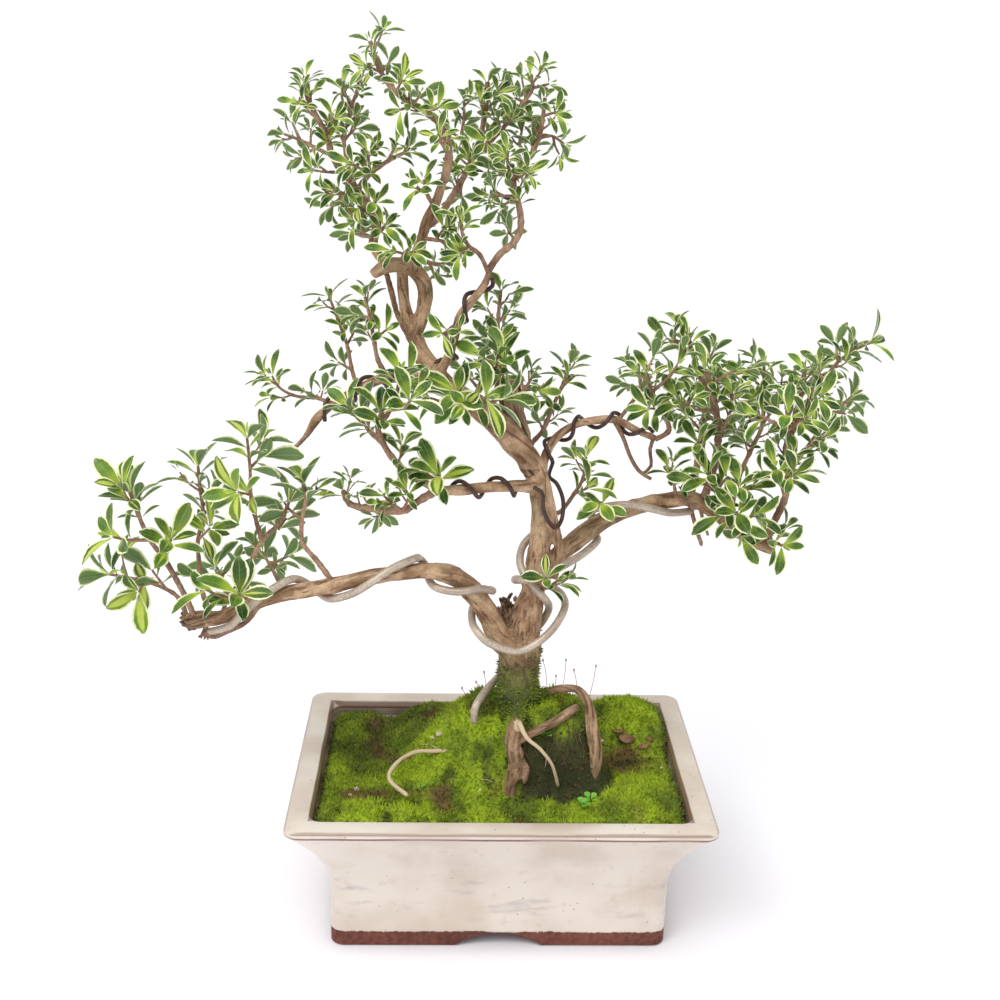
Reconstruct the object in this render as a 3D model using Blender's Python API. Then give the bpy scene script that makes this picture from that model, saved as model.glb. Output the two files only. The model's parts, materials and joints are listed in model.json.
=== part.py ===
# Serissa bonsai: a wired, variegated serissa in a rectangular glazed pot with moss.
import math
import random

import bmesh
import bpy
from mathutils import Matrix, Vector
from mathutils.bvhtree import BVHTree

MM = 0.001
GAP = 0.0003

# Pot, outside
POT_WIDTH = 0.200
POT_DEPTH = 0.142
POT_HEIGHT = 0.074
RIM_WIDTH = 0.011
LIP_HEIGHT = 0.003
LIP_BEVEL = 0.0012
FLARE_IN = 0.019
FLARE_DROP = 0.040
CORNER_RADIUS = 0.006
CORNER_STEPS = 2
# Pot, inside and underside
WALL = 0.008
MOUTH_DROP = 0.008
FLOOR_TOP = 0.015
INSIDE_CORNER = 0.012
HEADROOM = 0.060
FOOT_HEIGHT = 0.008
FOOT_WALL = 0.014
FRONT_ARCH = 0.044
SIDE_ARCH = 0.032
DRAIN_RADIUS = 0.006
DRAIN_SPACING = 0.070

# Ground: the moss lies this deep over the soil
GROUND_LEVEL = 0.066
MOSS_DEPTH = 0.0065
# Each swelling of the ground: centre x and y, spread in x and y, and height
SWELLINGS = (
    (0.001, 0.002, 0.026, 0.019, 0.039),
    (-0.030, 0.030, 0.026, 0.020, 0.016),
    (0.066, 0.038, 0.024, 0.018, 0.018),
    (0.070, -0.035, 0.022, 0.016, 0.005),
    (-0.060, -0.046, 0.030, 0.010, 0.004),
    (-0.070, 0.028, 0.020, 0.022, -0.006),
)
# The steep root ball: its centre x and y, half its width and depth, and its rise
ROOT_BALL = (0.0225, -0.004, 0.0255, 0.0225, 0.040)
# Where the moss's grid has its lines, closer together at the root ball's steep sides
MOSS_COLUMNS = (-0.100, -0.078, -0.058, -0.040, -0.024, -0.009, 0.006, 0.022, 0.036, 0.043, 0.048, 0.054,
                0.070, 0.100)
MOSS_ROWS = (-0.071, -0.048, -0.034, -0.028, -0.024, -0.019, -0.010, 0.006, 0.018, 0.030, 0.048, 0.071)

# The viewer from which the tree was drawn, in millimetres and degrees, with the pot's
# centre at x = y = 0. A place on the tree is given as the column and row at which this
# viewer sees it on a sheet of 1000 by 1000, and its depth in millimetres behind the
# pot's long middle line.
EYE = Vector((-23.6, -613.5, 418.9))
YAW = math.radians(1.97)
PITCH = math.radians(18.77)
ROLL = math.radians(-1.38)
FOCAL = 1378
SHEET_MIDDLE = 500

# Leaves
LEAF_THICKNESS = 0.00062
LEAF_WIDE = 0.23
NECK = 0.00075
NECK_THICKNESS = 0.0009
FULL_TUFT = 0.014
SEED = 7

# Trunk, limbs and roots: places, then the radius at each in millimetres
WOOD = {
    "trunk": (
        [(520, 752, -4), (519, 712, -2), (518, 676, 0), (520, 648, 0), (528, 610, 0), (537, 570, 0),
         (541, 530, 0), (541, 495, 0), (532, 465, -2), (512, 440, -4), (492, 418, -6), (470, 401, -6),
         (450, 388, -4), (434, 372, 0), (420, 350, 2), (414, 328, 2)],
        [13, 11.5, 9.6, 10, 6.9, 6.3, 6.2, 6.2, 6, 5.6, 5.3, 4.8, 4.6, 4.5, 4.3, 4]),
    "left_limb": (
        [(519, 656, 0), (500, 636, -4), (487, 612, -8), (473, 592, -12), (455, 577, -15), (430, 571, -18),
         (400, 573, -20), (365, 578, -22), (325, 587, -24), (285, 594, -26), (250, 605, -28),
         (222, 617, -28), (200, 620, -28), (187, 622, -28)],
        [7, 6, 5.4, 5.2, 4.8, 4.1, 3.7, 3.6, 3.6, 3.5, 3.4, 3.2, 4.2, 3.4]),
    "right_limb": (
        [(528, 590, 0), (548, 566, 4), (575, 541, 9), (605, 519, 14), (635, 507, 18), (665, 501, 22),
         (692, 499, 24), (715, 513, 22), (742, 534, 18), (774, 549, 14)],
        [5.5, 4.7, 4.4, 4.2, 4, 3.9, 3.7, 3.6, 3.5, 3.2]),
    "side_strand": ([(546, 486, -3), (553, 518, -3), (559, 550, -1), (553, 578, 0)],
                    [2.6, 2.2, 2.4, 2.6]),
    "dead_top": ([(532, 468, -2), (520, 440, 1), (514, 415, 3), (511, 394, 4), (512, 376, 5)],
                 [5, 4.8, 4.6, 5, 3]),
    "old_stub": ([(516, 640, 2), (510, 622, 5), (507, 606, 6)], [6, 5, 3.6]),
    "leader_right": (
        [(414, 334, 2), (421, 318, 2), (425, 301, 2), (424, 284, 2), (414, 270, 2), (400, 265, 0),
         (386, 266, -2), (372, 275, -4)],
        [4.1, 3.6, 3.4, 3.3, 3.2, 3.1, 3, 2.5]),
    "leader_left": ([(413, 338, 2), (406, 312, 6), (403, 290, 8), (402, 266, 5)], [3.4, 2.8, 2.6, 2.4]),
    "leader_twig": ([(410, 338, 2), (398, 316, 10), (391, 290, 12), (384, 264, 8)], [1.7, 1.5, 1.4, 1.3]),
    "crown_left": (
        [(400, 266, 2), (384, 261, 5), (373, 244, 8), (377, 222, 10), (367, 202, 11), (353, 185, 10)],
        [2.7, 2.4, 2.2, 2.1, 2, 1.8]),
    "crown_centre": (
        [(413, 272, 2), (420, 246, -2), (426, 224, -5), (436, 202, -8), (444, 178, -10)],
         [3, 2.7, 2.5, 2.2, 1.8]),
    "right_stem": (
        [(436, 378, -1), (448, 358, -6), (455, 335, -10), (460, 316, -12), (471, 302, -12),
         (485, 284, -10), (491, 264, -8)],
        [2.8, 2.3, 2.1, 2, 1.9, 1.8, 1.6]),
    "left_upper": (
        [(440, 380, 0), (412, 378, 6), (385, 378, 10), (357, 390, 14), (334, 404, 16), (318, 417, 16),
         (306, 436, 14), (291, 451, 12)],
        [3.2, 2.8, 2.5, 2.3, 2.1, 2.5, 1.5, 0.8]),
    "left_middle": (
        [(541, 487, -2), (520, 486, -10), (492, 487, -16), (460, 490, -20), (432, 491, -22)],
        [3.6, 2.9, 2.6, 2.5, 2.1]),
    "right_thin": (
        [(541, 480, 2), (545, 457, 6), (556, 438, 10), (575, 425, 14), (597, 420, 18), (617, 420, 20),
         (638, 431, 20), (657, 439, 18)],
        [2.8, 2.4, 2.2, 2.1, 2, 2, 1.9, 1.6]),
    "dead_loop": ([(614, 420, 20), (623, 437, 20), (630, 456, 19), (639, 471, 18), (651, 479, 18)],
                  [1.2, 1, 0.9, 0.9, 0.8]),
    "dead_loop_side": ([(654, 438, 18), (650, 449, 17), (651, 466, 18), (642, 474, 18)],
                       [1.1, 0.9, 0.8, 0.7]),
    "dead_hanging": ([(689, 500, 24), (695, 524, 24), (702, 546, 24)], [1.5, 1.1, 0.7]),
    "dead_hanging_side": ([(699, 501, 24), (703, 520, 25), (708, 535, 26)], [1.2, 0.9, 0.7]),
    "dead_left_low": ([(260, 602, -27), (246, 622, -31), (230, 630, -32), (214, 637, -30),
                       (204, 632, -29)],
                      [1.8, 1.5, 1.4, 1.4, 1.5]),
    "root_left": (
        [(521, 706, -10), (515, 728, -22), (513, 746, -27), (517, 764, -28), (511, 784, -29),
         (510, 806, -29)],
        [4.4, 3.6, 3.6, 3.8, 3.2, 2.2]),
    "root_left_side": ([(516, 758, -27), (527, 768, -30), (524, 784, -31)], [2, 1.6, 1]),
    "root_bridge": ([(516, 742, -25), (534, 732, -25), (556, 721, -22), (578, 706, -13)],
                    [2, 2.2, 2.2, 1.8]),
    "root_right": (
        [(536, 696, -2), (558, 689, -5), (578, 690, -8), (589, 706, -14), (592, 730, -20),
         (596, 756, -22), (592, 788, -22)],
        [2.6, 2, 2, 2.4, 2.9, 3.1, 2.2]),
    "root_thread": ([(519, 722, -25), (527, 738, -31), (540, 749, -33), (552, 765, -33), (558, 786, -30)],
                    [1.2, 0.9, 0.8, 0.8, 0.7]),
    "root_surface": ([(514, 735, -5), (475, 748, -10), (441, 751, -8), (416, 752, -8), (397, 763, -16),
                      (389, 779, -26), (408, 796, -37)],
                     [2.4, 1.6, 1, 1, 1, 1, 0.7]),
}
THIN_WOOD = 1.7

# Leafy branches: leaf length in millimetres, then each shoot as its radius in
# millimetres and its places. The first shoot starts in the wood, the others start at a
# place of an earlier shoot, and each ends in a tuft of leaves.
SPRAYS = {
    "spray_left_01": (16, [
        (1.3, [(335, 585, -23), (318, 562, -22), (303, 543, -20), (302, 520, -18), (306, 498, -16),
            (303, 484, -14)]), (0.9, [(302, 520, -18), (290, 510, -10), (284, 502, -4)])]),
    "spray_left_02": (17, [
        (1.5, [(244, 607, -28), (250, 568, -24), (262, 541, -20), (280, 522, -14), (289, 502, -8)]),
        (1.2, [(262, 541, -20), (256, 520, -24), (251, 495, -28), (250, 468, -28), (247, 438, -26)])]),
    "spray_left_03": (15, [
        (1.3, [(212, 619, -28), (202, 590, -20), (199, 562, -16), (198, 540, -14), (203, 515, -12),
            (200, 488, -10), (198, 466, -8)])]),
    "spray_left_04": (16, [
        (1.4, [(196, 620, -28), (183, 592, -33), (165, 560, -38), (150, 540, -40), (138, 514, -40),
            (130, 492, -40)]), (0.9, [(150, 540, -40), (128, 540, -46), (113, 537, -50)])]),
    "spray_left_05": (17, [
        (1.3, [(188, 621, -28), (180, 600, -22), (166, 589, -20), (140, 580, -20), (108, 574, -20)]),
        (0.9, [(166, 589, -20), (152, 570, -12)])]),
    "spray_left_06": (18, [
        (1.3, [(238, 611, -28), (239, 602, -36), (239, 594, -42)]),
        (0.9, [(239, 602, -36), (222, 597, -42), (206, 590, -46)])]),
    "spray_left_07": (14, [
        (1.2, [(285, 594, -26), (278, 580, -8), (270, 565, 8), (262, 552, 18)])]),
    "spray_left_08": (14, [
        (1.2, [(222, 617, -28), (226, 596, -8), (222, 580, 8), (216, 566, 18)]),
        (0.9, [(222, 580, 8), (200, 576, 12)])]),
    "spray_middle_01": (16, [
        (1.2, [(444, 490, -21), (441, 482, -30), (438, 475, -34)])]),
    "spray_middle_02": (11, [
        (2.0, [(436, 491, -22), (420, 500, -22), (402, 511, -22), (372, 509, -20), (350, 504, -18),
            (343, 490, -16)]), (0.9, [(402, 511, -22), (392, 503, -28), (384, 496, -30)])]),
    "spray_middle_03": (15, [
        (2.0, [(441, 491, -22), (412, 476, -26), (396, 462, -28), (384, 445, -30), (378, 428, -34),
            (382, 412, -38)]), (1.0, [(384, 445, -30), (368, 430, -24), (360, 414, -20)]),
        (1.2, [(378, 428, -34), (390, 410, -36), (397, 392, -38), (400, 374, -38)])]),
    "spray_middle_04": (16, [
        (1.4, [(466, 399, -6), (463, 397, -18), (457, 392, -28)]),
        (1.0, [(463, 397, -18), (474, 400, -26), (486, 398, -32)]),
        (1.0, [(463, 397, -18), (446, 402, -24), (430, 398, -26)])]),
    "spray_middle_05": (16, [
        (1.2, [(512, 398, 4), (507, 378, -8), (504, 358, -14)]),
        (0.9, [(507, 378, -8), (494, 368, -18), (484, 358, -20)])]),
    "spray_middle_06": (11, [
        (1.1, [(512, 402, 4), (524, 390, 12), (534, 374, 14)])]),
    "spray_middle_07": (12, [
        (1.3, [(536, 472, 0), (530, 448, 12), (543, 430, 14), (553, 406, 14), (562, 386, 18),
               (570, 364, 20)]),
        (0.8, [(543, 430, 14), (538, 418, 22)])]),
    "spray_middle_08": (11, [
        (1.1, [(474, 404, -6), (478, 388, 6), (484, 371, 10)]), (0.9, [(478, 388, 6), (466, 374, 16)])]),
    "spray_middle_09": (12, [
        (1.3, [(490, 417, -6), (497, 385, 14), (499, 350, 18), (498, 322, 18), (501, 290, 16)]),
        (0.9, [(498, 322, 18), (510, 310, 22)])]),
    "spray_middle_10": (10, [
        (0.9, [(457, 328, -11), (449, 330, -20), (443, 334, -26)])]),
    "spray_middle_12": (11, [
        (1.2, [(388, 378, 10), (378, 360, 6), (374, 340, 2), (370, 318, 0), (365, 297, 0)]),
        (0.8, [(374, 340, 2), (386, 330, -6)])]),
    "spray_middle_13": (11, [
        (1.2, [(358, 390, 14), (352, 370, 18), (347, 345, 20), (338, 320, 20), (329, 296, 20)]),
        (0.8, [(352, 370, 18), (338, 362, 24)])]),
    "spray_middle_14": (12, [
        (1.2, [(334, 404, 16), (318, 398, 24), (306, 392, 26)]),
        (0.9, [(318, 398, 24), (296, 396, 32), (280, 388, 32), (272, 376, 30)])]),
    "spray_crown_tip": (9.5, [
        (1.8, [(444, 182, -10), (449, 153, -12), (442, 128, -12), (428, 112, -12), (413, 105, -10),
            (396, 92, -8), (381, 72, -6), (370, 41, -4)]), (0.8, [(381, 72, -6), (390, 62, 0)]),
        (0.8, [(413, 105, -10), (421, 94, -2)]), (0.8, [(413, 105, -10), (400, 110, -16)]),
        (1.0, [(449, 153, -12), (441, 142, -22), (438, 134, -26)])]),
    "spray_crown_left_01": (9.5, [
        (1.7, [(354, 186, 10), (343, 172, 8), (332, 156, 6), (327, 136, 4), (313, 110, 2), (306, 92, 2),
            (305, 76, 2)]), (0.8, [(313, 110, 2), (298, 102, -6)]),
        (1.0, [(332, 156, 6), (316, 148, 14), (300, 140, 16), (284, 134, 16)]),
        (0.8, [(343, 172, 8), (326, 172, 0), (312, 170, -6)])]),
    "spray_crown_left_02": (9.5, [
        (1.2, [(360, 194, 11), (351, 176, 18), (344, 140, 22), (350, 112, 22), (357, 90, 20),
               (360, 72, 18)]),
        (0.8, [(350, 112, 22), (342, 98, 16), (343, 84, 14)])]),
    "spray_crown_left_03": (10, [
        (1.3, [(357, 190, 10), (370, 174, 0), (388, 161, -4), (408, 151, -6)]),
        (0.8, [(388, 161, -4), (396, 144, -8)])]),
    "spray_crown_left_04": (10, [
        (1.0, [(367, 203, 11), (348, 196, 2), (334, 190, -4)])]),
    "spray_crown_left_05": (10, [
        (1.0, [(375, 216, 10), (366, 212, 0), (358, 206, -6)])]),
    "spray_crown_left_06": (10, [
        (0.9, [(374, 242, 8), (380, 232, -2), (384, 226, -8)])]),
    "spray_crown_left_07": (10, [
        (1.0, [(374, 236, 9), (362, 236, 20), (352, 232, 28)])]),
    "spray_crown_mid_01": (10, [
        (1.0, [(400, 265, 0), (404, 254, -8), (411, 247, -12)])]),
    "spray_crown_mid_02": (10, [
        (1.1, [(416, 260, 0), (428, 262, 10), (434, 274, 14)])]),
    "spray_crown_mid_03": (10, [
        (1.1, [(422, 238, -3), (436, 240, -12), (448, 242, -16)])]),
    "spray_crown_mid_04": (10, [
        (1.1, [(434, 206, -8), (427, 194, -14), (424, 180, -18)])]),
    "spray_crown_back": (10, [
        (1.8, [(426, 226, -5), (438, 218, 6), (450, 200, 14), (460, 184, 20), (472, 160, 24),
            (480, 138, 24), (484, 118, 22), (487, 98, 20), (487, 82, 20)]), (0.8, [(484, 118, 22),
                                                                                   (496, 112, 30)]),
        (1.0, [(472, 160, 24), (462, 140, 32), (464, 118, 36), (464, 100, 36)]),
        (1.1, [(472, 160, 24), (492, 140, 16), (508, 122, 12), (524, 102, 8), (533, 88, 6),
               (530, 76, 4)]),
        (0.8, [(533, 88, 6), (549, 84, 2)]), (0.8, [(460, 184, 20), (462, 200, 30)])]),
    "spray_crown_right": (10, [
        (1.7, [(490, 268, -8), (500, 254, -8), (516, 240, -8), (521, 222, -6), (517, 196, -2),
            (514, 180, 2), (528, 160, 4), (539, 138, 6), (543, 116, 8), (545, 98, 8)]),
        (0.9, [(539, 138, 6), (552, 136, 14), (564, 144, 16)]), (0.8, [(543, 116, 8), (556, 112, 0)]),
        (0.9, [(514, 180, 2), (508, 166, -8), (508, 152, -12)]),
        (0.9, [(528, 160, 4), (520, 146, 14), (522, 130, 20)]),
        (0.8, [(517, 196, -2), (502, 196, -10), (491, 196, -12)]), (0.8, [(516, 240, -8),
                                                                          (508, 232, 4)])]),
    "spray_crown_low": (9.5, [
        (1.1, [(488, 272, -9), (480, 255, -16), (469, 246, -20), (462, 232, -22), (460, 217, -24)])]),
    "spray_right_01": (13, [
        (1.9, [(690, 499, 24), (697, 465, 34), (702, 432, 40), (706, 400, 40), (700, 375, 36),
            (692, 352, 34), (689, 338, 32)]), (0.9, [(700, 375, 36), (713, 352, 44)]),
        (0.9, [(692, 352, 34), (676, 344, 28), (667, 338, 26)]), (0.9, [(706, 400, 40), (722, 386, 50)]),
        (0.9, [(702, 432, 40), (690, 418, 50)])]),
    "spray_right_02": (12, [
        (1.5, [(656, 439, 18), (669, 430, 14), (662, 410, 10), (652, 392, 6), (646, 372, 4)]),
        (0.9, [(652, 392, 6), (668, 378, -2), (677, 366, -4)])]),
    "spray_right_03": (10, [
        (1.2, [(618, 420, 20), (630, 405, 28), (640, 388, 30), (638, 368, 30)])]),
    "spray_right_04": (13, [
        (2.1, [(703, 501, 24), (713, 470, 20), (718, 440, 18), (716, 410, 16), (710, 386, 8),
               (706, 370, 4)]),
        (0.9, [(710, 386, 8), (724, 376, 2), (736, 370, 0)]), (0.9, [(710, 386, 8), (694, 386, 2)]),
        (0.9, [(718, 440, 18), (730, 412, 8), (733, 394, 6)])]),
    "spray_right_05": (13, [
        (1.4, [(728, 523, 20), (738, 480, 34), (752, 448, 40), (762, 425, 40), (764, 390, 38),
               (764, 366, 36)]),
        (0.9, [(762, 425, 40), (778, 400, 46), (782, 378, 46)]), (0.8, [(764, 390, 38),
                                                                        (750, 376, 32)])]),
    "spray_right_06": (13, [
        (2.1, [(764, 545, 15), (774, 522, 14), (785, 498, 12), (789, 474, 12), (786, 448, 14),
            (796, 412, 18), (803, 388, 20), (804, 370, 20)]),
        (1.2, [(786, 448, 14), (806, 404, 6), (824, 380, 2), (838, 362, 0), (854, 350, -2)]),
        (0.8, [(854, 350, -2), (872, 342, -6)]),
        (1.0, [(789, 474, 12), (812, 440, 22), (834, 412, 28), (852, 396, 30)]),
        (1.0, [(786, 448, 14), (788, 430, 0), (788, 414, -8)]),
        (0.9, [(788, 430, 0), (770, 420, -8), (758, 415, -10)]),
        (0.9, [(789, 474, 12), (806, 450, 2), (822, 440, -4)]),
        (0.9, [(785, 498, 12), (780, 482, -2), (776, 468, -10)]), (0.8, [(806, 404, 6),
                                                                         (820, 398, -6)])]),
    "spray_right_07": (14, [
        (1.2, [(718, 511, 22), (716, 492, 8), (708, 474, 0)]), (0.9, [(716, 492, 8), (697, 480, 0)]),
        (0.9, [(716, 492, 8), (726, 478, -2)])]),
    "spray_right_08": (11, [
        (1.0, [(676, 500, 23), (674, 484, 14), (669, 468, 12)])]),
    "spray_right_10": (14, [
        (1.2, [(724, 519, 21), (726, 506, 8), (734, 497, 2), (738, 486, -2)])]),
    "spray_right_11": (15, [
        (1.2, [(740, 533, 18), (738, 522, 4), (737, 512, -6)]), (0.9, [(738, 522, 4), (722, 515, -4)]),
        (0.9, [(738, 522, 4), (741, 536, -6)])]),
    "spray_right_12": (12, [
        (1.1, [(770, 547, 14), (774, 542, 4), (782, 546, -2)])]),
    "spray_trunk_01": (13, [
        (1.2, [(548, 512, 0), (560, 512, 6), (574, 494, 8), (583, 478, 10), (586, 457, 10)]),
        (0.9, [(574, 494, 8), (588, 488, 4)])]),
    "spray_trunk_02": (15, [
        (1.1, [(612, 515, 15), (604, 506, 8), (600, 502, 2)])]),
    "spray_trunk_03": (12, [
        (1.1, [(533, 590, 0), (547, 588, -9), (557, 581, -12)])]),
}

# Wires: the wood that each stretch is wound on, the first and last place along it from
# 0 to 1, the turns and the angle at its start. A loose stretch is a list of places.
HEAVY_WIRE = 1.9
FINE_WIRE = 1.0
WIRES = {
    "wire_heavy_limbs": (HEAVY_WIRE, [
        ("wound", "left_limb", 0.955, 0.735, -0.5, 0),
        ("wound", "left_limb", 0.735, 0.64, -0.5, 180),
        ("wound", "left_limb", 0.64, 0.425, -0.5, 0),
        ("wound", "left_limb", 0.425, 0.36, -0.5, 180),
        ("wound", "left_limb", 0.36, 0.225, -0.5, 0),
        ("wound", "left_limb", 0.225, 0.17, -0.5, 180),
        ("loose", [(476, 630, -16), (491, 644, -20), (520, 651, -18), (548, 634, -14), (564, 610, -5),
                   (562, 595, 7), (548, 585, 14), (532, 581, 13), (517, 579, 6), (516, 580, -8),
                   (531, 579, -14), (549, 573, -12.5), (568, 563, -4), (584, 553, 4)]),
        ("wound", "right_limb", 0.29, 0.35, -0.5, 180),
        ("wound", "right_limb", 0.35, 0.665, -0.5, 0)]),
    "wire_heavy_trunk": (HEAVY_WIRE, [
        ("loose", [(474, 722, -14), (476, 706, -13), (488, 688, -3), (502, 672, 11)]),
        ("wound", "trunk", 0.215, 0.332, 0.25, 90),
        ("wound", "trunk", 0.332, 0.48, 0.75, 180)]),
    "wire_fine_low": (FINE_WIRE, [
        ("wound", "left_middle", 0.9, 0.2, 2.2, 20),
        ("loose", [(541, 492, -10), (543, 508, -10), (549, 522, -10), (556, 528, -7), (562, 518, -1),
                   (563, 500, 4), (557, 484, 8), (549, 476, 11)]),
        ("wound", "right_thin", 0.12, 0.96, 3.6, 200)]),
    "wire_fine_top": (FINE_WIRE, [("wound", "right_stem", 0.08, 0.9, 2.6, 10)]),
    "wire_fine_left": (FINE_WIRE, [("wound", "left_upper", 0.12, 0.74, 2.8, 30)]),
}


def clear_scene():
    for obj in list(bpy.data.objects):
        bpy.data.objects.remove(obj)


def material(name, colour, roughness, metallic=0.0):
    made = bpy.data.materials.new(name)
    made.use_nodes = True
    shader = made.node_tree.nodes["Principled BSDF"]
    shader.inputs["Base Color"].default_value = (*colour, 1)
    shader.inputs["Roughness"].default_value = roughness
    shader.inputs["Metallic"].default_value = metallic
    return made


def collection(name, shown=True):
    made = bpy.data.collections.new(name)
    made.hide_render = not shown
    bpy.context.scene.collection.children.link(made)
    return made


def mesh_object(name, mesh, into):
    obj = bpy.data.objects.new(name, mesh)
    into.objects.link(obj)
    return obj


def from_bmesh(name, bm, into):
    mesh = bpy.data.meshes.new(name)
    bm.to_mesh(mesh)
    bm.free()
    return mesh_object(name, mesh, into)


def seen(place):
    """The point in metres that the viewer sees at this column and row, at this depth."""
    column, row, depth = place
    ahead = Vector((math.sin(YAW) * math.cos(PITCH), math.cos(YAW) * math.cos(PITCH), -math.sin(PITCH)))
    level = Vector((math.cos(YAW), -math.sin(YAW), 0))
    down = ahead.cross(level)
    right = level * math.cos(ROLL) + down * math.sin(ROLL)
    below = down * math.cos(ROLL) - level * math.sin(ROLL)
    ray = ahead * FOCAL + right * (column - SHEET_MIDDLE) + below * (row - SHEET_MIDDLE)
    return (EYE + ray * ((depth - EYE.y) / ray.y)) * MM


def smooth_line(points, values, step):
    """Points about a step apart on a smooth curve through the given ones, with the
    values between them."""
    line, along = [], []
    for i in range(len(points) - 1):
        before = points[max(i - 1, 0)]
        start, end = points[i], points[i + 1]
        after = points[min(i + 2, len(points) - 1)]
        parts = max(1, round((end - start).length / step))
        for k in range(parts):
            t = k / parts
            bend = (2 * before - 5 * start + 4 * end - after) * t**2
            sweep = (3 * start - before - 3 * end + after) * t**3
            line.append((2 * start + (end - before) * t + bend + sweep) / 2)
            along.append(values[i] + (values[i + 1] - values[i]) * t)
    return line + [points[-1]], along + [values[-1]]


def tube(name, line, radii, sides, into):
    """A closed mesh tube along a line, with a radius at each point; sides is 4, 6 or 8."""
    curve = bpy.data.curves.new(name, "CURVE")
    curve.dimensions = "3D"
    curve.bevel_depth = 1
    curve.bevel_resolution = (sides - 4) // 2
    curve.use_fill_caps = True
    spline = curve.splines.new("POLY")
    spline.points.add(len(line) - 1)
    for point, place, radius in zip(spline.points, line, radii):
        point.co = (*place, 1)
        point.radius = radius
    drawn = mesh_object(name + "_line", curve, into)
    bpy.context.view_layer.update()
    mesh = bpy.data.meshes.new_from_object(drawn.evaluated_get(bpy.context.evaluated_depsgraph_get()))
    bpy.data.objects.remove(drawn)
    bm = bmesh.new()
    bm.from_mesh(mesh)
    bmesh.ops.remove_doubles(bm, verts=bm.verts, dist=1e-6)
    bmesh.ops.recalc_face_normals(bm, faces=bm.faces)
    bm.to_mesh(mesh)
    bm.free()
    mesh.name = name
    return mesh_object(name, mesh, into)


def boolean(obj, operation, others, solver="MANIFOLD"):
    """Joins other objects to obj, or cuts them from it, and removes them."""
    operands = collection(obj.name + "_operands")
    for other in others:
        for home in list(other.users_collection):
            home.objects.unlink(other)
        operands.objects.link(other)
    modifier = obj.modifiers.new(operation.lower(), "BOOLEAN")
    modifier.operation = operation
    modifier.operand_type = "COLLECTION"
    modifier.collection = operands
    modifier.solver = solver
    bpy.context.view_layer.update()
    mesh = bpy.data.meshes.new_from_object(obj.evaluated_get(bpy.context.evaluated_depsgraph_get()))
    obj.modifiers.clear()
    obj.data = mesh
    mesh.name = obj.name
    for other in others:
        bpy.data.objects.remove(other)
    bpy.data.collections.remove(operands)
    return obj


def copy_of(obj, into):
    return mesh_object(obj.name + "_copy", obj.data.copy(), into)


def keep_largest(obj):
    """Drops the loose scraps that a cut leaves beside the main body."""
    bm = bmesh.new()
    bm.from_mesh(obj.data)
    left, bodies = set(bm.verts), []
    while left:
        body, edge = set(), [left.pop()]
        while edge:
            vert = edge.pop()
            body.add(vert)
            for near in (e.other_vert(vert) for e in vert.link_edges):
                if near in left:
                    left.remove(near)
                    edge.append(near)
        bodies.append(body)
    bodies.sort(key=lambda body: sum(f.calc_area() for f in {f for v in body for f in v.link_faces}))
    bmesh.ops.delete(bm, geom=[v for body in bodies[:-1] for v in body], context="VERTS")
    bm.to_mesh(obj.data)
    bm.free()
    return obj


def rounded_ring(bm, half_x, half_y, radius, z):
    """A ring of vertices round a rectangle with rounded corners."""
    ring = []
    for corner, (sx, sy) in enumerate(((1, 1), (-1, 1), (-1, -1), (1, -1))):
        for k in range(CORNER_STEPS + 1):
            angle = math.pi / 2 * (corner + k / CORNER_STEPS)
            x = sx * (half_x - radius) + radius * math.cos(angle)
            y = sy * (half_y - radius) + radius * math.sin(angle)
            ring.append(bm.verts.new((x, y, z)))
    return ring


def loft(name, sections, into):
    """A closed solid through rounded rectangles, from top to bottom."""
    bm = bmesh.new()
    rings = [rounded_ring(bm, *section) for section in sections]
    for upper, lower in zip(rings, rings[1:]):
        for k in range(len(upper)):
            n = (k + 1) % len(upper)
            bm.faces.new((upper[k], lower[k], lower[n], upper[n]))
    bm.faces.new(rings[0])
    bm.faces.new(reversed(rings[-1]))
    bmesh.ops.recalc_face_normals(bm, faces=bm.faces)
    return from_bmesh(name, bm, into)


def flare(drop):
    """How far the pot's wall lies in from the lip, at a drop below the rim."""
    share = min(max((drop - LIP_HEIGHT) / FLARE_DROP, 0), 1)
    return FLARE_IN * math.sin(share * math.pi / 2)


def pot_section(drop, inset, radius):
    return (POT_WIDTH / 2 - inset, POT_DEPTH / 2 - inset, radius, POT_HEIGHT - drop)


def inside_sections(inset):
    """The pot's cavity, drawn in by an inset for what lies in it."""
    rim = RIM_WIDTH + inset
    steps = [(-HEADROOM, rim), (MOUTH_DROP, rim + 0.001)]
    steps += [(drop, max(rim + 0.001, flare(drop) + WALL + inset)) for drop in (0.016, 0.026, 0.036, 0.046)]
    floor_drop = POT_HEIGHT - FLOOR_TOP - inset
    steps.append((floor_drop, FLARE_IN + WALL + inset + 0.001))
    return [pot_section(drop, inward, INSIDE_CORNER - inset) for drop, inward in steps]


def box(name, centre, size, into):
    bm = bmesh.new()
    bmesh.ops.create_cube(bm, size=1, matrix=Matrix.Translation(centre) @ Matrix.Diagonal((*size, 1)))
    return from_bmesh(name, bm, into)


def drum(name, centre, radius, depth, axis, into):
    """A round cutter along X, Y or Z."""
    turn = {"X": Matrix.Rotation(math.pi / 2, 4, "Y"), "Y": Matrix.Rotation(math.pi / 2, 4, "X"),
            "Z": Matrix.Identity(4)}[axis]
    bm = bmesh.new()
    bmesh.ops.create_cone(bm, segments=16, radius1=radius, radius2=radius, depth=depth, cap_ends=True,
                          matrix=Matrix.Translation(centre) @ turn)
    return from_bmesh(name, bm, into)


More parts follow.
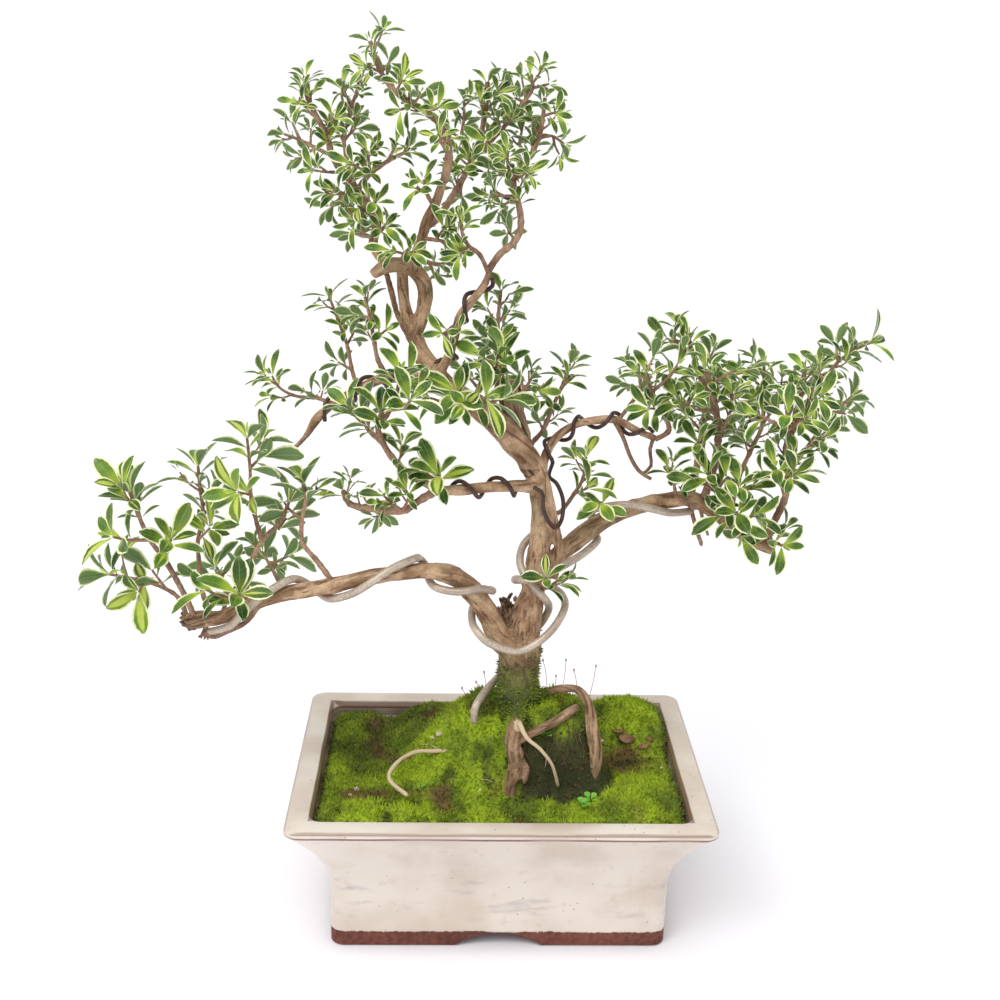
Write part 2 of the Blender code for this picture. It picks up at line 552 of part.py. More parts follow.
def make_pot(into, tools, look):
    drops = [LIP_HEIGHT + FLARE_DROP * k / 4 for k in range(5)]
    sections = [pot_section(0, LIP_BEVEL, CORNER_RADIUS), pot_section(LIP_BEVEL, 0, CORNER_RADIUS)]
    sections += [pot_section(drop, flare(drop), CORNER_RADIUS + flare(drop) / 8) for drop in drops]
    sections += [pot_section(POT_HEIGHT, FLARE_IN, CORNER_RADIUS)]
    pot = loft("pot", sections, into)
    foot_x, foot_y = POT_WIDTH / 2 - FLARE_IN, POT_DEPTH / 2 - FLARE_IN
    cutters = [loft("cavity", inside_sections(0), tools)]
    cutters.append(box("foot_recess", (0, 0, 0), (2 * (foot_x - FOOT_WALL), 2 * (foot_y - FOOT_WALL),
                                                  2 * FOOT_HEIGHT), tools))
    for arch, axis, reach in ((FRONT_ARCH, "Y", POT_DEPTH), (SIDE_ARCH, "X", POT_WIDTH)):
        arch_radius = (arch / 2) ** 2 / (2 * FOOT_HEIGHT) + FOOT_HEIGHT / 2
        arch_middle = (0, 0, FOOT_HEIGHT - arch_radius - 0.0004)
        cutters.append(drum("arch", arch_middle, arch_radius, reach, axis, tools))
    for side in (-1, 1):
        drain_middle = (side * DRAIN_SPACING / 2, 0, FLOOR_TOP)
        cutters.append(drum("drain", drain_middle, DRAIN_RADIUS, 0.02, "Z", tools))
    for cutter in cutters:
        boolean(pot, "DIFFERENCE", [cutter])
    pot.data.materials.clear()
    pot.data.materials.append(look)
    return pot


def ground_height(x, y):
    """The top of the moss: a level bed with soft swellings and a fine unevenness."""
    height = GROUND_LEVEL
    for centre_x, centre_y, spread_x, spread_y, rise in SWELLINGS:
        far = ((x - centre_x) / spread_x) ** 2 + ((y - centre_y) / spread_y) ** 2
        height += rise * math.exp(-far**1.3 / 1.6)
    fine = math.sin(x * 310 + 1.3) * math.sin(y * 290 + 0.4) + 0.6 * math.sin(x * 170 + y * 210)
    return height + 0.0007 * fine


def moss_height(x, y):
    """The ground's top with the steep root ball."""
    centre_x, centre_y, half_width, half_depth, rise = ROOT_BALL
    far = ((x - centre_x) / half_width) ** 4 + ((y - centre_y) / half_depth) ** 4
    return max(ground_height(x, y), GROUND_LEVEL + rise * math.exp(-far**1.5))


def even_lines(size, count):
    return [size * (k / count - 0.5) for k in range(count + 1)]


def ground_block(name, height, columns, rows, into):
    """A block whose top follows the height function and whose bottom is level."""
    bm = bmesh.new()
    bmesh.ops.create_grid(bm, x_segments=len(columns) - 1, y_segments=len(rows) - 1, size=0.5)
    for vert in bm.verts:
        vert.co.x = columns[round((vert.co.x + 0.5) * (len(columns) - 1))]
        vert.co.y = rows[round((vert.co.y + 0.5) * (len(rows) - 1))]
    top = list(bm.verts)
    lower = bmesh.ops.extrude_face_region(bm, geom=list(bm.faces))["geom"]
    for vert in (v for v in lower if isinstance(v, bmesh.types.BMVert)):
        vert.co.z = 0
    for vert in top:
        vert.co.z = height(vert.co.x, vert.co.y)
    bmesh.ops.triangulate(bm, faces=list(bm.faces), quad_method="FIXED")
    bmesh.ops.recalc_face_normals(bm, faces=bm.faces)
    return from_bmesh(name, bm, into)


def soil_height(x, y):
    """The top of the soil, which rises less than the peaty moss on it."""
    return GROUND_LEVEL + 0.5 * (ground_height(x, y) - GROUND_LEVEL) - MOSS_DEPTH


def make_ground(into, tools, soil_look, moss_look, clearances):
    columns, rows = even_lines(POT_WIDTH, 8), even_lines(POT_DEPTH, 5)
    soil = ground_block("soil", soil_height, columns, rows, into)
    boolean(soil, "INTERSECT", [loft("soil_room", inside_sections(GAP), tools)])
    moss = ground_block("moss", moss_height, MOSS_COLUMNS, MOSS_ROWS, into)
    boolean(moss, "INTERSECT", [loft("moss_room", inside_sections(GAP), tools)])
    below = ground_block("below_moss", lambda x, y: soil_height(x, y) + GAP, columns, rows, tools)
    boolean(moss, "DIFFERENCE", [below])
    for ground, look in ((soil, soil_look), (moss, moss_look)):
        boolean(ground, "DIFFERENCE", [copy_of(piece, tools) for piece in clearances])
        keep_largest(ground)
        ground.data.materials.clear()
        ground.data.materials.append(look)
    return soil, moss


def wood_lines():
    """Each limb's line and radii in metres."""
    lines = {}
    for name, (places, radii) in WOOD.items():
        step = 0.012 if max(radii) > THIN_WOOD else 0.014
        lines[name] = smooth_line([seen(p) for p in places], [r * MM for r in radii], step)
    return lines


def longer(line, extra):
    """The line with both ends drawn out."""
    first = line[0] + (line[0] - line[1]).normalized() * extra
    last = line[-1] + (line[-1] - line[-2]).normalized() * extra
    return [first, *line[1:-1], last]


def make_wood(name, lines, extra, into, tools):
    """The trunk, limbs and roots in one body, each drawn out by an extra radius."""
    tubes = []
    for limb, (line, radii) in lines.items():
        sides = 8 if max(radii) > 9 * MM else 6 if max(radii) > THIN_WOOD * MM else 4
        tubes.append(tube(limb, longer(line, extra), [r + extra for r in radii], sides, tools))
    wood = tubes[0]
    wood.name = name
    tools.objects.unlink(wood)
    into.objects.link(wood)
    boolean(wood, "UNION", tubes[1:])
    return keep_largest(wood)


def place_along(line, share):
    """The point, direction and place in the list at a share of a line's length."""
    lengths = [(b - a).length for a, b in zip(line, line[1:])]
    left = share * sum(lengths)
    for i, length in enumerate(lengths):
        if left <= length or i == len(lengths) - 1:
            t = min(left / length, 1)
            return line[i].lerp(line[i + 1], t), (line[i + 1] - line[i]).normalized(), i, t
        left -= length
    raise ValueError("a share is from 0 to 1")


def wound(line, radii, start, end, turns, angle, wire):
    """The places of a wire wound on a limb."""
    count = max(4, round(abs(turns) * 7))
    places = []
    for k in range(count + 1):
        t = k / count
        centre, ahead, i, part = place_along(line, start + (end - start) * t)
        reach = radii[i] + (radii[i + 1] - radii[i]) * part + wire + 1.3 * GAP
        side = ahead.cross(Vector((0, 1, 0))).normalized()
        up = side.cross(ahead)
        turn = math.radians(angle) + 2 * math.pi * turns * t
        places.append(centre + (side * math.cos(turn) + up * math.sin(turn)) * reach * 1.06)
    return places


def wire_line(stretches, lines, wire):
    places = []
    for kind, *rest in stretches:
        if kind == "loose":
            places += [seen(p) for p in rest[0]]
        else:
            limb, start, end, turns, angle = rest
            turned = wound(*lines[limb], start, end, turns, angle, wire)
            goes_on = bool(places) and (turned[0] - places[-1]).length < wire
            places += turned[1:] if goes_on else turned
    return smooth_line(places, [wire] * len(places), 0.009)[0]


# A blade's outline from the neck round the tip: across in half widths, along and up in
# lengths. Its two halves fold up from the midrib and its tip bends down.
OUTLINE = ((0.92, 0.42, 0.05), (0.80, 0.76, 0.03), (0, 1, -0.07), (-0.80, 0.76, 0.03), (-0.92, 0.42, 0.05))


def neck_corner(centre, axis, turn, k, up):
    """A corner of the square neck that a tuft's leaves stand on, over or under it."""
    side = axis.orthogonal().normalized()
    out = Matrix.Rotation(turn + math.pi / 2 * k - math.pi / 4, 3, axis) @ side
    return centre + out * NECK * math.sqrt(2) + axis * up * NECK_THICKNESS / 2


def leaf_frame(centre, axis, turn, spread, tilt):
    """Where a leaf grows: at an angle from the shoot, its upper side to the shoot's tip."""
    out = Matrix.Rotation(turn, 3, axis) @ axis.orthogonal().normalized()
    along = axis * math.cos(spread) + out * math.sin(spread)
    normal = Matrix.Rotation(tilt, 3, along) @ (axis * math.sin(spread) - out * math.cos(spread))
    frame = Matrix((along.cross(normal), along, normal)).transposed().to_4x4()
    frame.translation = centre + out * NECK
    return frame


def outline_points(frame, length, up):
    return [frame @ Vector((x * LEAF_WIDE * length, y * length, z * length + up)) for x, y, z in OUTLINE]


def blade_tree(frame, length, thickness):
    """A blade's surface, for finding what it would touch."""
    points = []
    for up in (thickness / 2, -thickness / 2):
        points += [frame @ Vector((NECK, 0, up))] + outline_points(frame, length, up)
        points += [frame @ Vector((-NECK, 0, up))]
    fan = [(3, 2, 1), (3, 1, 0), (3, 0, 6), (3, 6, 5), (3, 5, 4)]
    sides = [(k, (k + 1) % 7, (k + 1) % 7 + 7, k + 7) for k in range(7)]
    return BVHTree.FromPolygons(points, fan + [tuple(k + 7 for k in face) for face in fan] + sides)


def tuft_body(name, tuft, into):
    """A neck with a leaf on each side that has one, as one closed body."""
    centre, axis, turn, leaves = tuft
    bm = bmesh.new()
    necks = [[bm.verts.new(neck_corner(centre, axis, turn, k, up)) for k in range(4)] for up in (1, -1)]
    bm.faces.new(necks[0])
    bm.faces.new(reversed(necks[1]))
    for k in range(4):
        edge = [[neck[(k + 1) % 4], neck[k]] for neck in necks]
        if leaves[k]:
            frame, length = leaves[k]
            for line, up in zip(edge, (1, -1)):
                rim = [bm.verts.new(p) for p in outline_points(frame, length, up * LEAF_THICKNESS / 2)]
                if (rim[0].co - line[0].co).length > (rim[4].co - line[0].co).length:
                    rim.reverse()
                line[1:1] = rim
                for fold in ((3, 2, 1), (3, 1, 0), (3, 0, 6), (3, 6, 5), (3, 5, 4)):
                    bm.faces.new([line[i] for i in fold])
        for i in range(len(edge[0]) - 1):
            bm.faces.new((edge[0][i], edge[0][i + 1], edge[1][i + 1], edge[1][i]))
    bmesh.ops.recalc_face_normals(bm, faces=bm.faces)
    return from_bmesh(name, bm, into)


def segment_distance(point, start, end):
    way = end - start
    share = min(max((point - start).dot(way) / max(way.length_squared, 1e-12), 0), 1)
    return (point - start - way * share).length


def touches_wood(frame, length, stretches):
    """True if a leaf comes too near a limb, a wire or another branch's stem."""
    samples = [frame @ Vector((x * LEAF_WIDE * length, y * length, 0))
               for x, y in ((0, 0.3), (0, 0.62), (0, 1), (0.9, 0.5), (-0.9, 0.5), (0.6, 0.85),
                             (-0.6, 0.85))]
    middle = frame @ Vector((0, length / 2, 0))
    for start, end, radius in stretches:
        if (middle - start).length > 0.6 * length + (end - start).length + radius:
            continue
        if any(segment_distance(p, start, end) < radius + 0.0012 for p in samples):
            return True
    return False


def stretches_of(line, radii):
    return [(a, b, max(r, s)) for a, b, r, s in zip(line, line[1:], radii, radii[1:])]


def shoot_lines():
    """Each spray's shoots as lines with radii, and its leaf length."""
    grown = {}
    for name, (leaf, shoots) in SPRAYS.items():
        lines = []
        for radius, places in shoots:
            radii = [radius * (1 - 0.45 * k / (len(places) - 1)) * MM for k in range(len(places))]
            lines.append(smooth_line([seen(p) for p in places], radii, 0.018))
        grown[name] = (leaf * MM, lines)
    return grown


def leaf_options(centre, axis, turn, k, leaf, draw):
    """The ways that one leaf of a tuft may lie, the best first."""
    wide = k % 2 == 0
    spread = math.radians(draw.uniform(68, 86) if wide else draw.uniform(42, 56))
    aside, tilt = draw.uniform(-0.2, 0.2), draw.uniform(-0.25, 0.25)
    length = leaf * draw.uniform(0.86, 1.14) * (1 if wide else 0.88)
    tries = [(0, 0, 1), (0.25, 0, 1), (-0.3, 0, 1), (0, 0.25, 0.9), (0, -0.25, 0.9), (0, 0, 0.78),
             (0.2, 0, 0.65)]
    turn += math.pi / 2 * k + aside
    return [(leaf_frame(centre, axis, turn + off, spread + lean, tilt), length * share)
            for lean, off, share in tries]


def is_clear(frame, length, stretches, blades):
    middle = frame @ Vector((0, length / 2, 0))
    near = [tree for centre, reach, tree in blades if (centre - middle).length < reach + length / 2 + NECK]
    if touches_wood(frame, length, stretches):
        return False
    blade = blade_tree(frame, length, LEAF_THICKNESS + 2 * GAP)
    return not any(blade.overlap(tree) for tree in near)


def grow_tuft(line, leaf, sides, draw, obstacles, blades):
    """The tuft at a shoot's tip, turned so that it holds the most leaf."""
    axis = (line[-1] - line[-2]).normalized()
    centre, first_turn = line[-1].copy(), draw.uniform(0, math.pi / 2)
    near = [s for s in obstacles if segment_distance(centre, s[0], s[1]) < 1.3 * leaf + s[2]]
    best, most = None, -1
    for step in range(4):
        turn = first_turn + step * math.pi / 8
        leaves = []
        for k in range(4):
            options = leaf_options(centre, axis, turn, k, leaf, draw)
            clear = (o for o in options if is_clear(*o, near, blades))
            leaves.append(next(clear, None) if k in sides else None)
        held = sum(found[1] for found in leaves if found)
        if held > most + 0.001:
            best, most = (centre, axis, turn, leaves), held
    return best


def grow_leaves(grown, fixed):
    """Each spray's tufts, clear of the wood, of the stems and of one another."""
    draw = random.Random(SEED)
    stems = [(name, i, s) for name, (_, lines) in grown.items() for i, line in enumerate(lines)
             for s in stretches_of(*line)]
    blades, chosen = [], {}
    for name, (leaf, lines) in grown.items():
        chosen[name] = []
        for i, (line, _) in enumerate(lines):
            obstacles = fixed + [s for other, k, s in stems if (other, k) != (name, i)]
            sides = (0, 1, 2, 3) if i == 0 and leaf >= FULL_TUFT else (0, 2)
            tuft = grow_tuft(line, leaf, sides, draw, obstacles, blades)
            chosen[name].append(tuft)
            blades += [(f @ Vector((0, n / 2, 0)), n / 2 + NECK,
                        blade_tree(f, n * 1.04, LEAF_THICKNESS + 2 * GAP))
                       for f, n in (found for found in tuft[3] if found)]
    return chosen


def make_spray(name, lines, tufts, look, into, tools, clearances):
    stems = [tube(name, *lines[0], 4, into)]
    stems += [tube(name + "_shoot", *line, 4, tools) for line in lines[1:]]
    bodies = [tuft_body(name + "_tuft", tuft, tools) for tuft in tufts if any(tuft[3])]
    spray = stems[0]
    boolean(spray, "UNION", stems[1:] + bodies)
    boolean(spray, "DIFFERENCE", [copy_of(piece, tools) for piece in clearances])
    keep_largest(spray)
    spray.data.materials.clear()
    spray.data.materials.append(look)
    return spray


def stand_on_origin(shown):
    """Moves the object so that the middle of its underside is at the origin."""
    corners = [v.co for obj in shown.objects for v in obj.data.vertices]
    middle = [(min(c[i] for c in corners) + max(c[i] for c in corners)) / 2 for i in range(2)]
    lowest = min(c.z for c in corners)
    for obj in shown.objects:
        obj.data.transform(Matrix.Translation((-middle[0], -middle[1], -lowest)))


def main():
    clear_scene()
    shown = collection("serissa_bonsai")
    tools = collection("cutters", shown=False)
    looks = {
        "glaze": material("cream_glaze", (0.80, 0.72, 0.62), 0.35),
        "soil": material("dark_soil", (0.05, 0.035, 0.02), 0.95),
        "moss": material("moss", (0.13, 0.26, 0.02), 0.9),
        "bark": material("tan_bark", (0.42, 0.27, 0.15), 0.8),
        "leaf": material("variegated_leaf", (0.12, 0.25, 0.08), 0.5),
        "silver": material("aluminium_wire", (0.62, 0.53, 0.45), 0.4, 0.6),
        "brown": material("brown_wire", (0.08, 0.04, 0.03), 0.45, 0.6),
    }
    lines = wood_lines()
    tree = make_wood("tree", lines, 0, shown, tools)
    tree.data.materials.append(looks["bark"])
    wood_room = make_wood("wood_room", lines, GAP, tools, tools)

    rooms, fixed = [wood_room], [s for line in lines.values() for s in stretches_of(*line)]
    for name, (radius, stretches) in WIRES.items():
        line = wire_line(stretches, lines, radius * MM)
        sides = 6 if radius == HEAVY_WIRE else 4
        wire = tube(name, line, [radius * MM] * len(line), sides, shown)
        wire.data.materials.append(looks["silver" if radius == HEAVY_WIRE else "brown"])
        room = tube(name + "_room", longer(line, GAP), [radius * MM + GAP] * len(line), sides, tools)
        boolean(tree, "DIFFERENCE", [copy_of(room, tools)])
        rooms.append(room)
        fixed += stretches_of(line, [radius * MM] * len(line))
    keep_largest(tree)

    make_ground(shown, tools, looks["soil"], looks["moss"], rooms)
    make_pot(shown, tools, looks["glaze"])

    grown = shoot_lines()
    leaves = grow_leaves(grown, fixed)
    for name, (_, shoots) in grown.items():
        make_spray(name, shoots, leaves[name], looks["leaf"], shown, tools, rooms)
    for room in rooms:
        bpy.data.objects.remove(room)
    stand_on_origin(shown)


main()
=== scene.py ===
# %% [markdown]
# # A wired serissa bonsai
# The real object is a small tree: a trunk and limbs shaped with wire, shoots that end in
# tufts of cream-edged leaves, bare roots over a moss mound, and a glazed pot. The solids of
# all of these exist already. This script dresses them: it follows the same lines with finer
# pieces, adds the leaves, moss and thin roots that are too many for the solids, and gives
# every surface its finish.

# %% The frame and the pot's place in it
import json
import math
import random

import bmesh
import bpy
from mathutils import Matrix, Vector, kdtree, noise
from mathutils.bvhtree import BVHTree

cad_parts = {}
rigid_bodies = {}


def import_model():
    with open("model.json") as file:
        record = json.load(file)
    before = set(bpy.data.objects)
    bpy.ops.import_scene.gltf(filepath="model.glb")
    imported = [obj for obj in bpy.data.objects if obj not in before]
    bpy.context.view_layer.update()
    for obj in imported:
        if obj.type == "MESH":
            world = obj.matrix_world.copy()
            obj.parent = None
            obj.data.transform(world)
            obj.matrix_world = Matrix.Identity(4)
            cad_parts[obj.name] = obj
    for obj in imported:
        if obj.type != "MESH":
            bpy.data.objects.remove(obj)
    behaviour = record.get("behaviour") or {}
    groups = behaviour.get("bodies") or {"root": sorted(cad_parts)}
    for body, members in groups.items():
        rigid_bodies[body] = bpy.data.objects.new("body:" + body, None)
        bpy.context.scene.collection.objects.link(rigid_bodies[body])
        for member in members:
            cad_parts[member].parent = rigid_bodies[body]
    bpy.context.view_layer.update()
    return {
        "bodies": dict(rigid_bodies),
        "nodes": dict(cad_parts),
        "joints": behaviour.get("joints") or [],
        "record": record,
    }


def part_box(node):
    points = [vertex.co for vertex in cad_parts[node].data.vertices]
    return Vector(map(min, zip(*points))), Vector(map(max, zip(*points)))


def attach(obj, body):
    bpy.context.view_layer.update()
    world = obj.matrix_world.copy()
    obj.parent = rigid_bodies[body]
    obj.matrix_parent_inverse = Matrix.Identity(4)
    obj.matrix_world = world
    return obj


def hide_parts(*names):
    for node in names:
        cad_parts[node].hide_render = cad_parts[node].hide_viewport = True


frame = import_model()
pot_low, pot_high = (Vector(corner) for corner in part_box("pot"))
POT_MIDDLE = Vector(((pot_low.x + pot_high.x) / 2, (pot_low.y + pot_high.y) / 2, 0))
MM = 0.001
print("pot from", [round(v, 4) for v in pot_low], "to", [round(v, 4) for v in pot_high])

# %% [markdown]
# ## One view to trace through
# The tree was traced on the photograph: each place is a column, a row and a depth behind the
# pot's long middle line. The same view gives the camera at the end, so a place that is traced
# well also lands well in the picture.

# %% The view and the places it sees
EYE = Vector((-23.6, -613.5, 418.9))
YAW = math.radians(1.97)
PITCH = math.radians(18.77)
ROLL = math.radians(-1.38)
FOCAL = 1378
SHEET_MIDDLE = 500
AHEAD = Vector((math.sin(YAW) * math.cos(PITCH), math.cos(YAW) * math.cos(PITCH), -math.sin(PITCH)))
LEVEL = Vector((math.cos(YAW), -math.sin(YAW), 0))
DOWN = AHEAD.cross(LEVEL)
RIGHT = LEVEL * math.cos(ROLL) + DOWN * math.sin(ROLL)
BELOW = DOWN * math.cos(ROLL) - LEVEL * math.sin(ROLL)


def seen(place):
    """The point in metres that the viewer sees at this column and row, at this depth."""
    column, row, depth = place
    ray = AHEAD * FOCAL + RIGHT * (column - SHEET_MIDDLE) + BELOW * (row - SHEET_MIDDLE)
    return (EYE + ray * ((depth - EYE.y) / ray.y)) * MM


print("the rim's middle lies at", [round(v, 4) for v in seen((500, 830, -71))])

# %% [markdown]
# ## Lines for the wood, the shoots and the wires
# A branch is drawn as a few places with a radius at each. A smooth curve goes through them,
# once in the long steps that the solids use, because leaves are placed from those, and once
# in short steps for the fine pieces.

# %% The limbs, roots and twigs: places, then the radius at each in millimetres
WOOD = {
    "trunk": (
        [(520, 752, -4), (519, 712, -2), (518, 676, 0), (520, 648, 0), (528, 610, 0), (537, 570, 0),
         (541, 530, 0), (541, 495, 0), (532, 465, -2), (512, 440, -4), (492, 418, -6), (470, 401, -6),
         (450, 388, -4), (434, 372, 0), (420, 350, 2), (414, 328, 2)],
        [13, 11.5, 9.6, 10, 6.9, 6.3, 6.2, 6.2, 6, 5.6, 5.3, 4.8, 4.6, 4.5, 4.3, 4]),
    "left_limb": (
        [(519, 656, 0), (500, 636, -4), (487, 612, -8), (473, 592, -12), (455, 577, -15), (430, 571, -18),
         (400, 573, -20), (365, 578, -22), (325, 587, -24), (285, 594, -26), (250, 605, -28),
         (222, 617, -28), (200, 620, -28), (187, 622, -28)],
        [7, 6, 5.4, 5.2, 4.8, 4.1, 3.7, 3.6, 3.6, 3.5, 3.4, 3.2, 4.2, 3.4]),
    "right_limb": (
        [(528, 590, 0), (548, 566, 4), (575, 541, 9), (605, 519, 14), (635, 507, 18), (665, 501, 22),
         (692, 499, 24), (715, 513, 22), (742, 534, 18), (774, 549, 14)],
        [5.5, 4.7, 4.4, 4.2, 4, 3.9, 3.7, 3.6, 3.5, 3.2]),
    "side_strand": ([(546, 486, -3), (553, 518, -3), (559, 550, -1), (553, 578, 0)],
                    [2.6, 2.2, 2.4, 2.6]),
    "dead_top": ([(532, 468, -2), (520, 440, 1), (514, 415, 3), (511, 394, 4), (512, 376, 5)],
                 [5, 4.8, 4.6, 5, 3]),
    "old_stub": ([(516, 640, 2), (510, 622, 5), (507, 606, 6)], [6, 5, 3.6]),
    "leader_right": (
        [(414, 334, 2), (421, 318, 2), (425, 301, 2), (424, 284, 2), (414, 270, 2), (400, 265, 0),
         (386, 266, -2), (372, 275, -4)],
        [4.1, 3.6, 3.4, 3.3, 3.2, 3.1, 3, 2.5]),
    "leader_left": ([(413, 338, 2), (406, 312, 6), (403, 290, 8), (402, 266, 5)], [3.4, 2.8, 2.6, 2.4]),
    "leader_twig": ([(410, 338, 2), (398, 316, 10), (391, 290, 12), (384, 264, 8)], [1.7, 1.5, 1.4, 1.3]),
    "crown_left": (
        [(400, 266, 2), (384, 261, 5), (373, 244, 8), (377, 222, 10), (367, 202, 11), (353, 185, 10)],
        [2.7, 2.4, 2.2, 2.1, 2, 1.8]),
    "crown_centre": (
        [(413, 272, 2), (420, 246, -2), (426, 224, -5), (436, 202, -8), (444, 178, -10)],
         [3, 2.7, 2.5, 2.2, 1.8]),
    "right_stem": (
        [(436, 378, -1), (448, 358, -6), (455, 335, -10), (460, 316, -12), (471, 302, -12),
         (485, 284, -10), (491, 264, -8)],
        [2.8, 2.3, 2.1, 2, 1.9, 1.8, 1.6]),
    "left_upper": (
        [(440, 380, 0), (412, 378, 6), (385, 378, 10), (357, 390, 14), (334, 404, 16), (318, 417, 16),
         (306, 436, 14), (291, 451, 12)],
        [3.2, 2.8, 2.5, 2.3, 2.1, 2.5, 1.5, 0.8]),
    "left_middle": (
        [(541, 487, -2), (520, 486, -10), (492, 487, -16), (460, 490, -20), (432, 491, -22)],
        [3.6, 2.9, 2.6, 2.5, 2.1]),
    "right_thin": (
        [(541, 480, 2), (545, 457, 6), (556, 438, 10), (575, 425, 14), (597, 420, 18), (617, 420, 20),
         (638, 431, 20), (657, 439, 18)],
        [2.8, 2.4, 2.2, 2.1, 2, 2, 1.9, 1.6]),
    "dead_loop": ([(614, 420, 20), (623, 437, 20), (630, 456, 19), (639, 471, 18), (651, 479, 18)],
                  [1.2, 1, 0.9, 0.9, 0.8]),
    "dead_loop_side": ([(654, 438, 18), (650, 449, 17), (651, 466, 18), (642, 474, 18)],
                       [1.1, 0.9, 0.8, 0.7]),
    "dead_hanging": ([(689, 500, 24), (695, 524, 24), (702, 546, 24)], [1.5, 1.1, 0.7]),
    "dead_hanging_side": ([(699, 501, 24), (703, 520, 25), (708, 535, 26)], [1.2, 0.9, 0.7]),
    "dead_left_low": ([(260, 602, -27), (246, 622, -31), (230, 630, -32), (214, 637, -30),
                       (204, 632, -29)],
                      [1.8, 1.5, 1.4, 1.4, 1.5]),
    "root_left": (
        [(521, 706, -10), (515, 728, -22), (513, 746, -27), (517, 764, -28), (511, 784, -29),
         (510, 806, -29)],
        [4.4, 3.6, 3.6, 3.8, 3.2, 2.2]),
    "root_left_side": ([(516, 758, -27), (527, 768, -30), (524, 784, -31)], [2, 1.6, 1]),
    "root_bridge": ([(516, 742, -25), (534, 732, -25), (556, 721, -22), (578, 706, -13)],
                    [2, 2.2, 2.2, 1.8]),
    "root_right": (
        [(536, 696, -2), (558, 689, -5), (578, 690, -8), (589, 706, -14), (592, 730, -20),
         (596, 756, -22), (592, 788, -22)],
        [2.6, 2, 2, 2.4, 2.9, 3.1, 2.2]),
    "root_thread": ([(519, 722, -25), (527, 738, -31), (540, 749, -33), (552, 765, -33), (558, 786, -30)],
                    [1.2, 0.9, 0.8, 0.8, 0.7]),
    "root_surface": ([(514, 735, -5), (475, 748, -10), (441, 751, -8), (416, 752, -8), (397, 763, -16),
                      (389, 779, -26), (408, 796, -37)],
                     [2.4, 1.6, 1, 1, 1, 1, 0.7]),
}
THIN_WOOD = 1.7

